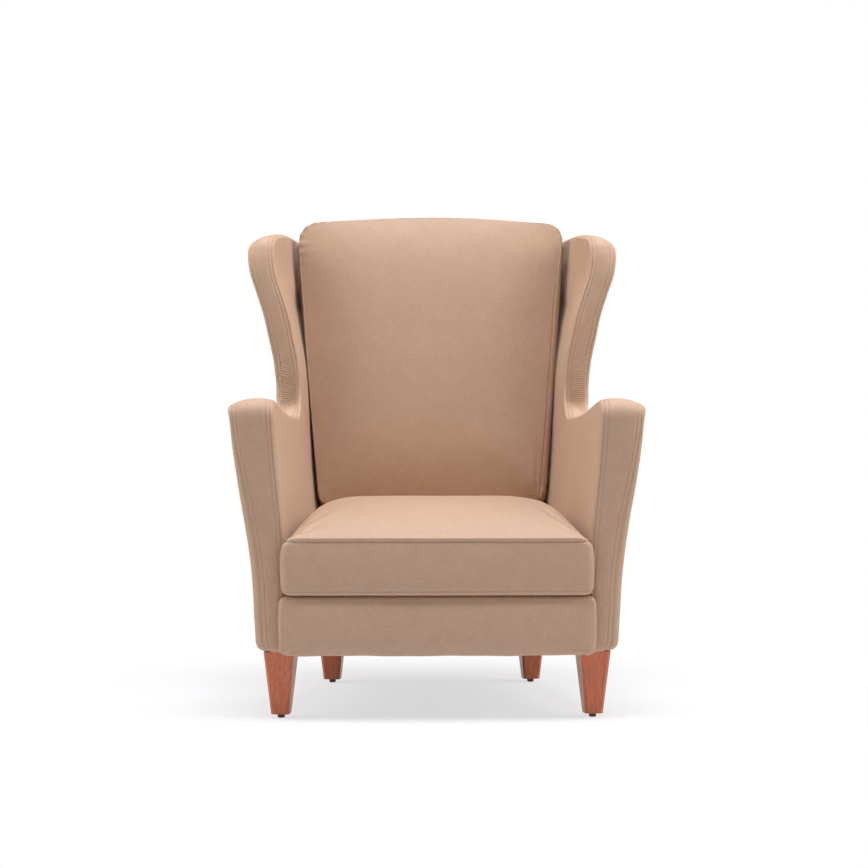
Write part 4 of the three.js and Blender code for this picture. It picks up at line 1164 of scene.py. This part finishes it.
def boxed_pad(outline, counts, foot_insets, border, face_insets, rise, skewed=None):
    """A pad sewn from a back panel, a border and a front panel, lying flat: x and y run over its
    panels and z off them. A skew holds the share by which the front seam shifts to one side, the
    height where it starts, the share by which it nears the high edge and a quarter of the run to
    there. It gives the points, the faces and the loops in order from the back panel."""
    wide, deep = counts
    base, top = border[0][1], border[-1][1]
    half = np.abs(outline[:, 0]).max()

    def ring_at(inset, height):
        if skewed and height >= skewed[1]:
            sideways = skewed[0] * np.clip(skew_reach * outline[:, 0] / half, -1, 1)
            inset = inset * (1 + sideways) * (1 - skewed[2] * np.clip(outline[:, 1] / skewed[3] - 3, 0, 1))
        return drawn_in(outline, inset)

    def layer(flat, height):
        return np.column_stack([flat, np.full(len(flat), height)])

    points = [layer(panel_within(drawn_in(outline, foot_insets[0]), counts), base)]
    points += [layer(drawn_in(outline, inset), base) for inset in foot_insets[1:]]
    points += [layer(ring_at(inset, height), height) for inset, height in border]
    faced = [ring_at(inset, top) for inset in face_insets]
    faced[-1] = panel_within(faced[-1], counts)
    points += [np.column_stack([flat, top + rise(flat)]) for flat in faced]
    starts = [int(start) for start in np.cumsum([0] + [len(part) for part in points])]
    rim = rim_of(deep + 1, wide + 1)
    loops = [rim]
    loops += [list(range(start, start + len(outline))) for start in starts[1:-2]]
    loops.append([starts[-2] + i for i in rim])
    faces = [face[::-1] for face in grid_faces(deep + 1, wide + 1)]
    faces += grid_faces(deep + 1, wide + 1, start=starts[-2])
    for low, high in zip(loops, loops[1:]):
        for i in range(len(low)):
            after = (i + 1) % len(low)
            faces.append((low[i], low[after], high[after], high[i]))
    return np.concatenate(points), faces, loops


def crown_over(centre, ends, half_widths, powers, height):
    """The rise of a crowned panel: full at its centre, nothing along its edge, with no ridge. The
    powers say how square its crown stays across, towards its low end and towards its high end."""
    low, high = ends

    def rise(flat):
        x, y = flat[:, 0], flat[:, 1]
        half = np.interp(y, (low, high), half_widths)
        along = np.where(y < centre, (centre - y) / (centre - low), (y - centre) / (high - centre))
        wide_rise = 1 - np.clip(np.abs(x / half), 0, 1) ** powers[0]
        deep_rise = 1 - np.clip(np.abs(along), 0, 1) ** np.where(y < centre, powers[1], powers[2])
        return height * wide_rise * deep_rise

    return rise


apron_half = 0.3145
apron_low = 0.129
apron_high = 0.2465
apron_radius = 0.020
apron_bow = 0.001
apron_counts = (72, 26)
apron_border = 0.022
apron_crown = 0.008
apron_crown_inset = 0.0085
apron_powers = (10, 3, 3)
apron_back = side_front - 0.0003
apron_rings = [
    (0.0055, 0), (0.0022, 0.0008), (0.0006, 0.0028), (-0.0004, 0.006), (-0.0008, 0.0105),
    (-0.0004, 0.0145), (0.0008, 0.0175), (0.0028, 0.0198), (0.0055, 0.0214), (0.0085, apron_border),
]
apron_foot_insets = (0.03, 0.014)
apron_face_insets = (0.0105, 0.013, 0.016)
apron_rumple = 0.0016
droop_waves = ((0.0005, 31, 0.4), (0.0003, 77, 0))
droop_reach = 0.02
pleat_inset = (0.014, 0.004)
pleat_reach = 0.024
pleat_start = 0.006
pleat_depth = 0.0022
pleat_pull = 0.8
pleat_pull_reach = 0.012
pleats = 7
pleat_turn = 0.6
pleat_sway = 3
pleat_sway_pitch = 1.7


def front_rail_pad():
    corners = [
        (hand * apron_half, height, apron_radius, bow)
        for hand, height, bow in (
            (-1, apron_low, apron_bow), (1, apron_low, apron_bow), (1, apron_high, 0),
            (-1, apron_high, apron_bow),
        )
    ]
    rise = crown_over(
        (apron_low + apron_high) / 2, (apron_low + apron_crown_inset, apron_high - apron_crown_inset),
        (apron_half - apron_crown_inset,) * 2, apron_powers, apron_crown,
    )
    outline = rounded_outline(corners, apron_counts)
    points, faces, _ = boxed_pad(
        outline, apron_counts, apron_foot_insets, apron_rings, apron_face_insets, rise,
    )
    lift = np.clip(points[:, 2] / apron_border, 0, 1)
    for hand in (-1, 1):
        spot = points[:, :2] - [hand * (apron_half - pleat_inset[0]), apron_low + pleat_inset[1]]
        reach = np.linalg.norm(spot, axis=1)
        angle = np.arctan2(spot[:, 1], spot[:, 0] * hand)
        sway = pleat_turn * hand + pleat_sway * np.sin(pleat_sway_pitch * angle)
        fold = pleat_depth * np.cos(pleats * angle + sway)
        fold *= np.exp(-reach / pleat_reach) * np.clip(reach / pleat_start, 0, 1)
        points[:, 2] += fold * lift
        points[:, 1] -= pleat_pull * fold * groove(points[:, 1] - apron_low, pleat_pull_reach)
    droop = sum(size * np.sin(points[:, 0] * turns + shift) for size, turns, shift in droop_waves)
    points[:, 1] += droop * groove(points[:, 1] - apron_low, droop_reach)
    points[:, 2] += apron_rumple * rumple(points, 9, 7) * lift
    return stood(np.stack([points[:, 0], apron_back - points[:, 2], points[:, 1]], 1)), faces


def one_subdivision(piece):
    smoothed = piece.modifiers.new("soft_surface", "SUBSURF")
    smoothed.levels = 1
    smoothed.render_levels = 1


apron = new_piece("front_rail_cloth", *front_rail_pad(), napped_cloth, "frame", "cloth")
faces_out(apron)
one_subdivision(apron)
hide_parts("front_rail_pad")

# The fillings: a moulded foam block in each loose cushion, cut a little smaller than its cover.
foam_finish = speckled("seat_foam", (0.78, 0.70, 0.50), (0.66, 0.57, 0.38), 1300.0, (0.85, 1.0), 0.0006)
refinish(foam_finish, "seat_cushion_core", "back_cushion_core")

# The loose seat cushion: a boxed cover over foam and fibre. Its border is sewn to the panels with
# a seam at each edge and a row of topstitching beside it, and its nose bulges over the arms.
swell_frames = 20
swell_settings = {
    "quality": 5, "mass": 0.35, "tension_stiffness": 20, "compression_stiffness": 20, "shear_stiffness": 8,
    "bending_stiffness": 0.6, "use_pressure": True, "uniform_pressure_force": 4.0,
}
panel_limit = 0.008
border_limit = 0.0035
held_at_foot = 7
pucker_pitch = 0.021
pucker_depth = 0.0006
pucker_reach = 0.016
pucker_stray = 3
soft_from = 0.02
least_length = 1e-9
cushion_gap = 0.0003
cushion_stitch_lift = 0.0003


def swollen(name, points, faces, held, limits):
    """The points after a short cloth simulation under air pressure, held along the seams. No
    point moves further than its limit."""
    mesh = bpy.data.meshes.new(name)
    mesh.from_pydata([tuple(point) for point in points], [], [tuple(face) for face in faces])
    proxy = bpy.data.objects.new(name, mesh)
    bpy.context.scene.collection.objects.link(proxy)
    faces_out(proxy)
    seams = proxy.vertex_groups.new(name="seams")
    seams.add([int(index) for index in held], 1.0, "REPLACE")
    settings = proxy.modifiers.new("swell", "CLOTH").settings
    for setting, value in swell_settings.items():
        setattr(settings, setting, value)
    settings.effector_weights.gravity = 0
    settings.vertex_group_mass = "seams"
    for step in range(1, swell_frames + 1):
        bpy.context.scene.frame_set(step)
    shaped = proxy.evaluated_get(bpy.context.evaluated_depsgraph_get()).to_mesh()
    moved = np.empty(len(points) * 3)
    shaped.vertices.foreach_get("co", moved)
    bpy.data.objects.remove(proxy)
    bpy.context.scene.frame_set(1)
    shift = moved.reshape(-1, 3) - points
    length = np.maximum(np.linalg.norm(shift, axis=1), least_length)
    return points + shift * (limits * np.tanh(length / limits) / length)[:, None]


def swollen_cushion(name, corners, counts, foot_insets, border, face_insets, rise, held_at_face, skewed=None):
    """A boxed cushion cover, swollen between its seams. It gives the outline, the points, the
    faces and the border's loops in order from the back panel."""
    outline = rounded_outline(corners, counts)
    points, faces, loops = boxed_pad(outline, counts, foot_insets, border, face_insets, rise, skewed)
    foot, face = len(foot_insets), len(foot_insets) + len(border)
    held = set(range((counts[0] + 1) * (counts[1] + 1)))
    held.update(*loops[:foot + held_at_foot], *loops[face - held_at_face:face + 1])
    limits = np.full(len(points), panel_limit)
    for loop in loops[foot:face]:
        limits[loop] = border_limit
    return outline, swollen(name, points, faces, held, limits), faces, loops[foot:face]


def pucker_wave(outline, points, seed):
    """The small folds that the stitching draws in, between -1 and 1, fading away from the seam."""
    gaps = np.linalg.norm(points[:, None, :2] - outline[None, :, :], axis=2)
    nearest = gaps.argmin(1)
    along, distance = measured(outline)[nearest], gaps[np.arange(len(points)), nearest]
    wave = np.sin(2 * math.pi * along / pucker_pitch + pucker_stray * rumple(points, 9, seed))
    return wave * np.exp(-distance / pucker_reach)


def press_in(piece, depth):
    """Moves a piece's points in along their normals."""
    count = len(piece.data.vertices)
    places, normals = np.empty(count * 3), np.empty(count * 3)
    piece.data.vertices.foreach_get("co", places)
    piece.data.vertex_normals.foreach_get("vector", normals)
    piece.data.vertices.foreach_set("co", places - normals * np.repeat(depth, 3))
    piece.data.update()


def stitched_loop(piece, loop):
    """The line of a sewn loop on a finished piece, with the direction off the cloth at each point."""
    line = np.array([piece.data.vertices[i].co for i in loop + loop[:1]])
    lift = np.array([piece.data.vertex_normals[i].vector for i in loop + loop[:1]])
    return line + lift * cushion_stitch_lift, lift


slide_axis = next(joint["axis"] for joint in frame["joints"] if joint["name"] == "seat_cushion_slide")
seat_tilt = math.atan2(slide_axis[2], -slide_axis[1])
seat_line = (-0.062, 0.248)
seat_counts = (66, 64)
seat_front, seat_rear = -0.002, 0.607
seat_halves = (0.295, 0.242)
seat_corners = [
    (-seat_halves[0], seat_front, 0.022, 0.002), (seat_halves[0], seat_front, 0.022, -0.002),
    (seat_halves[1], seat_rear, 0.034, 0), (-seat_halves[1], seat_rear, 0.034, -0.002),
]
seat_crown_centre = 0.412
seat_crown = 0.069
seat_crown_powers = (13, 4.5, 4.8)
seat_height = 0.1158
seat_border = [
    (0.0085, 0), (0.0042, 0.0012), (0.0012, 0.0042), (0.0004, 0.0072), (0.0022, 0.0086), (0.0006, 0.0100),
    (-0.0002, 0.0135), (-0.0010, 0.021), (-0.0016, 0.032), (-0.0020, 0.046), (-0.0021, 0.060),
    (-0.0019, 0.074), (-0.0013, 0.087), (-0.0006, 0.097), (0.0000, 0.1020), (0.0006, 0.1048),
    (0.0034, 0.1062), (0.0006, 0.1076), (-0.0008, 0.1108), (-0.0010, 0.1138), (0.0014, seat_height),
]
seat_stitch_ring = 16
foot_stitch_ring = 4
seat_zip_ring = 10
seat_held_at_face = 7
seat_face_insets = (0.0040, 0.0054, 0.0074, 0.0102, 0.0135, 0.018)
seat_foot_insets = (0.034, 0.020)
nose_bulge = 0.0165
nose_belly = [
    [0, 0.55], [0.03, 0.8], [0.08, 0.93], [0.3, 1], [0.68, 1], [0.84, 0.88], [0.93, 0.5], [1, -0.15],
]
nose_depth = (0.020, 0.034)
nose_side = 0.2
nose_side_reach = 0.08
seat_border_pucker = 0.3
seat_rumple = 0.0018
cushion_fine_rumple = 0.0006


def seat_place(points):
    """From the flat cushion to its place on the tilted seat."""
    along, up = points[:, 1], points[:, 2] + cushion_gap
    return np.stack([
        points[:, 0],
        seat_line[0] + along * math.cos(seat_tilt) + up * math.sin(seat_tilt),
        seat_line[1] - along * math.sin(seat_tilt) + up * math.cos(seat_tilt),
    ], 1)


def seat_cushion_mesh():
    rise = crown_over(seat_crown_centre, (seat_front, seat_rear), seat_halves, seat_crown_powers, seat_crown)
    outline, points, faces, loops = swollen_cushion(
        "seat_cushion_swell", seat_corners, seat_counts, seat_foot_insets, seat_border, seat_face_insets,
        rise, seat_held_at_face,
    )
    fade = 1 - smooth((points[:, 1] - nose_depth[0]) / (nose_depth[1] - nose_depth[0]))
    belly = through(nose_belly, np.clip(points[:, 2] / seat_height, 0, 1))
    near_side = np.clip((np.abs(points[:, 0]) - nose_side) / nose_side_reach, 0, 1)
    points[:, 0] += np.sign(points[:, 0]) * nose_bulge * fade * belly * near_side
    depth = pucker_depth * pucker_wave(outline, points, 31)
    depth *= np.where(points[:, 2] > seat_height, 1, seat_border_pucker)
    depth -= seat_rumple * rumple(points, 5, 32) + cushion_fine_rumple * rumple(points, 17, 33)
    depth *= np.clip(points[:, 2] / soft_from, 0, 1)
    return stood(seat_place(points)), faces, loops, depth


seat_points, seat_faces, seat_loops, seat_depth = seat_cushion_mesh()
seat_cushion = new_piece(
    "seat_cushion_cloth", seat_points, seat_faces, napped_cloth, "seat_cushion", "cloth",
)
faces_out(seat_cushion)
press_in(seat_cushion, seat_depth)
seat_stitch_lines = [
    stitched_loop(seat_cushion, seat_loops[ring]) for ring in (foot_stitch_ring, seat_stitch_ring)
]
one_subdivision(seat_cushion)
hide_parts("seat_cushion_cover")
new_piece(
    "seat_cushion_topstitching", *stitches(seat_stitch_lines), thread_finish, "seat_cushion", "cloth",
)

# The loose back cushion: the same make, filled softer. It stands on the crown of the seat cushion
# and leans on the inside back, and its front panel is a little narrower than its border.
back_foot_rise = 0.1620
back_counts = (66, 76)
back_corners = [
    (-0.253, 0, 0.026, 0.003), (0.252, 0, 0.026, 0.002), (0.306, 0.6484, 0.060, 0.011),
    (-0.307, 0.6484, 0.072, 0.002),
]
back_crown = 0.0228
back_crown_centre = 0.33
back_crown_ends = (0, 0.6594)
back_crown_halves = (0.252, 0.300)
back_crown_powers = (5.2, 6, 7)
back_height = 0.0818
back_border = [
    (0.0165, 0), (0.0120, 0.0012), (0.0096, 0.0042), (0.0088, 0.0072), (0.0092, 0.0086), (0.0084, 0.0100),
    (0.0066, 0.0150), (0.0042, 0.024), (0.0016, 0.035), (-0.0004, 0.046), (-0.0014, 0.056),
    (-0.0012, 0.065), (0.0000, 0.0720), (0.0012, 0.0770), (0.0030, 0.0800), (0.0050, 0.0820),
    (0.0066, 0.0828), (0.0076, 0.0828), (0.0084, back_height),
]
back_zip_ring = 9
back_held_at_face = 5
back_face_insets = (0.0094, 0.0106, 0.0124, 0.0145, 0.017)
back_foot_insets = (0.044, 0.030)
back_seam_skew = (0.55, 0.060, 0.7, 0.155)
foot_settle = 0.0046
foot_settle_half = 0.2
foot_settle_sides = 0.8
foot_settle_side_fade = 0.25
foot_settle_fade = 0.035
foot_settle_front = 0.04
upper_left = (-0.30, 0.56)
upper_left_reach = (0.07, 0.10)
upper_left_pucker = 0.0009
back_border_pucker = 0.4
back_rumple = 0.0020
mitre_place = (0.246, 0.008)
mitre_strengths = {-1: 0.5, 1: 1.0}
mitre_shift = 0.002
mitre_width = 0.004
mitre_reach = 0.02
mitre_depth = 0.0022
mitre_from = 0.8
back_front_from = 0.97


def back_place(points):
    """From the flat cushion to its place against the leaning back, with its crown forward."""
    y, z = lean_place(-cushion_gap - points[:, 2], back_foot_rise + points[:, 1])
    return np.stack([points[:, 0], y, z], 1)


def settled(points):
    """How far the lower front edge sinks on to the crown of the seat cushion, more to its sides."""
    aside = np.abs(points[:, 0]) / foot_settle_half
    sunk = foot_settle * (1 + foot_settle_sides * np.minimum(aside, 1) ** 2)
    sunk *= np.exp(-np.maximum(points[:, 1], 0) / foot_settle_fade)
    sunk *= np.clip(points[:, 2] / foot_settle_front, 0, 1)
    return sunk * (1 - np.clip((aside - 1) / foot_settle_side_fade, 0, 1) ** 2)


def mitres(points):
    """The slanting folds in the two lower corners of the front panel."""
    fold = np.zeros(len(points))
    for hand, strength in mitre_strengths.items():
        spot = points[:, :2] - [hand * mitre_place[0], mitre_place[1]]
        off_line = (spot[:, 0] * hand + spot[:, 1]) / math.sqrt(2)
        out_along = (spot[:, 0] * hand - spot[:, 1]) / math.sqrt(2)
        crease = groove(out_along + mitre_shift, mitre_width)
        fold += strength * crease * np.exp(-np.abs(off_line) / mitre_reach)
    return fold


def back_cushion_mesh():
    rise = crown_over(back_crown_centre, back_crown_ends, back_crown_halves, back_crown_powers, back_crown)
    outline, points, faces, loops = swollen_cushion(
        "back_cushion_swell", back_corners, back_counts, back_foot_insets, back_border, back_face_insets,
        rise, back_held_at_face, back_seam_skew,
    )
    points[:, 1] -= settled(points)
    raised = points[:, 2] / back_height
    near_upper_left = np.exp(-(((points[:, :2] - upper_left) / upper_left_reach) ** 2).sum(1))
    depth = (pucker_depth + upper_left_pucker * near_upper_left) * pucker_wave(outline, points, 41)
    depth *= np.where(raised > back_front_from, 1, back_border_pucker)
    depth += mitre_depth * mitres(points) * (raised > mitre_from)
    depth -= back_rumple * rumple(points, 4, 42) + cushion_fine_rumple * rumple(points, 15, 43)
    depth *= np.clip(points[:, 2] / soft_from, 0, 1)
    return stood(back_place(points)), faces, loops, depth


back_points, back_faces, back_loops, back_depth = back_cushion_mesh()
back_cushion = new_piece(
    "back_cushion_cloth", back_points, back_faces, napped_cloth, "back_cushion", "cloth",
)
faces_out(back_cushion)
press_in(back_cushion, back_depth)
back_stitch_lines = [stitched_loop(back_cushion, back_loops[foot_stitch_ring])]
one_subdivision(back_cushion)
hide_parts("back_cushion_cover")
new_piece(
    "back_cushion_topstitching", *stitches(back_stitch_lines), thread_finish, "back_cushion", "cloth",
)

# The zips: a moulded coil on a woven tape closes the rear border of the seat cushion and the
# lower border of the back cushion. The pull is parked at one end.
zip_half_length = 0.160
zip_reach = 0.08
zip_lift = 0.0004
zip_tape_half = 0.0065
zip_tape_section = ((-1, 0.0003), (1, 0.0003), (1, -0.0006), (-1, -0.0006))
zip_end = 0.004
zip_tooth_pitch = 0.0022
zip_tooth_size = (0.0030, 0.0012, 0.0011)
zip_tooth_aside = 0.0011
zip_tooth_lift = 0.0006
zip_slider_place = 0.009
zip_slider_parts = [
    (0, 0.0012, (0.009, 0.0066, 0.0026)), (0.001, 0.0030, (0.0052, 0.0016, 0.0016)),
    (0.0115, 0.0034, (0.018, 0.0044, 0.0010)),
]
brick_faces = ((0, 2, 3, 1), (4, 5, 7, 6), (0, 1, 5, 4), (2, 6, 7, 3), (0, 4, 6, 2), (1, 3, 7, 5))


def zip_mesh(line, lift):
    """A tape along a line, two rows of teeth meeting along it, and a slider with its pull."""
    lengths = measured(line)
    ahead = np.gradient(line, axis=0)
    ahead /= np.linalg.norm(ahead, axis=1)[:, None]
    side = np.cross(ahead, lift)
    side /= np.linalg.norm(side, axis=1)[:, None]
    points = [
        line[i] + side[i] * across * zip_tape_half + lift[i] * (up + zip_lift)
        for i in range(len(line)) for across, up in zip_tape_section
    ]
    faces = grid_faces(len(line), 4, ring=True)
    faces += [[0, 3, 2, 1], [len(points) - 4 + j for j in range(4)]]

    def brick(centre, axes, size):
        start = len(points)
        for k in (-1, 1):
            for j in (-1, 1):
                for i in (-1, 1):
                    points.append(centre + sum(axes[n] * (i, j, k)[n] * size[n] / 2 for n in range(3)))
        faces.extend([start + i for i in face] for face in brick_faces)

    def at(length):
        index = min(int(np.searchsorted(lengths, length)), len(line) - 1)
        return at_lengths(line, [length])[0], ahead[index], side[index], lift[index]

    for hand in (-1, 1):
        first = zip_end + hand * zip_tooth_pitch / 4
        for length in np.arange(first, lengths[-1] - zip_end, zip_tooth_pitch):
            spot, along, across, up = at(length)
            centre = spot + across * hand * zip_tooth_aside + up * (zip_lift + zip_tooth_lift)
            brick(centre, (across, along, up), zip_tooth_size)
    spot, along, across, up = at(lengths[-1] - zip_slider_place)
    for back, rise, size in zip_slider_parts:
        brick(spot + up * (zip_lift + rise) - along * back, (along, across, up), size)
    return points, faces


def zip_on(piece, loop, body, name, replaced):
    """Sews a zip along the middle of a border loop and puts it in the place of the plain strip."""
    low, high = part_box(replaced)
    middle = (low + high) / 2
    line, lift = stitched_loop(piece, loop)
    away = np.linalg.norm(line[:, 1:] - [middle.y, middle.z], axis=1)
    near = (np.abs(line[:, 0]) <= zip_half_length) & (away < zip_reach)
    order = np.argsort(line[near][:, 0])
    points, faces = zip_mesh(line[near][order], lift[near][order])
    closure = new_piece(name, points, faces, glide_plastic, body, "dark_plastic", smooth=False)
    faces_out(closure)
    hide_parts(replaced)


refinish(glide_plastic, "seat_cushion_zip", "back_cushion_zip")
zip_on(
    seat_cushion, seat_loops[seat_zip_ring], "seat_cushion", "seat_cushion_zip_closure", "seat_cushion_zip",
)
zip_on(
    back_cushion, back_loops[back_zip_ring], "back_cushion", "back_cushion_zip_closure", "back_cushion_zip",
)
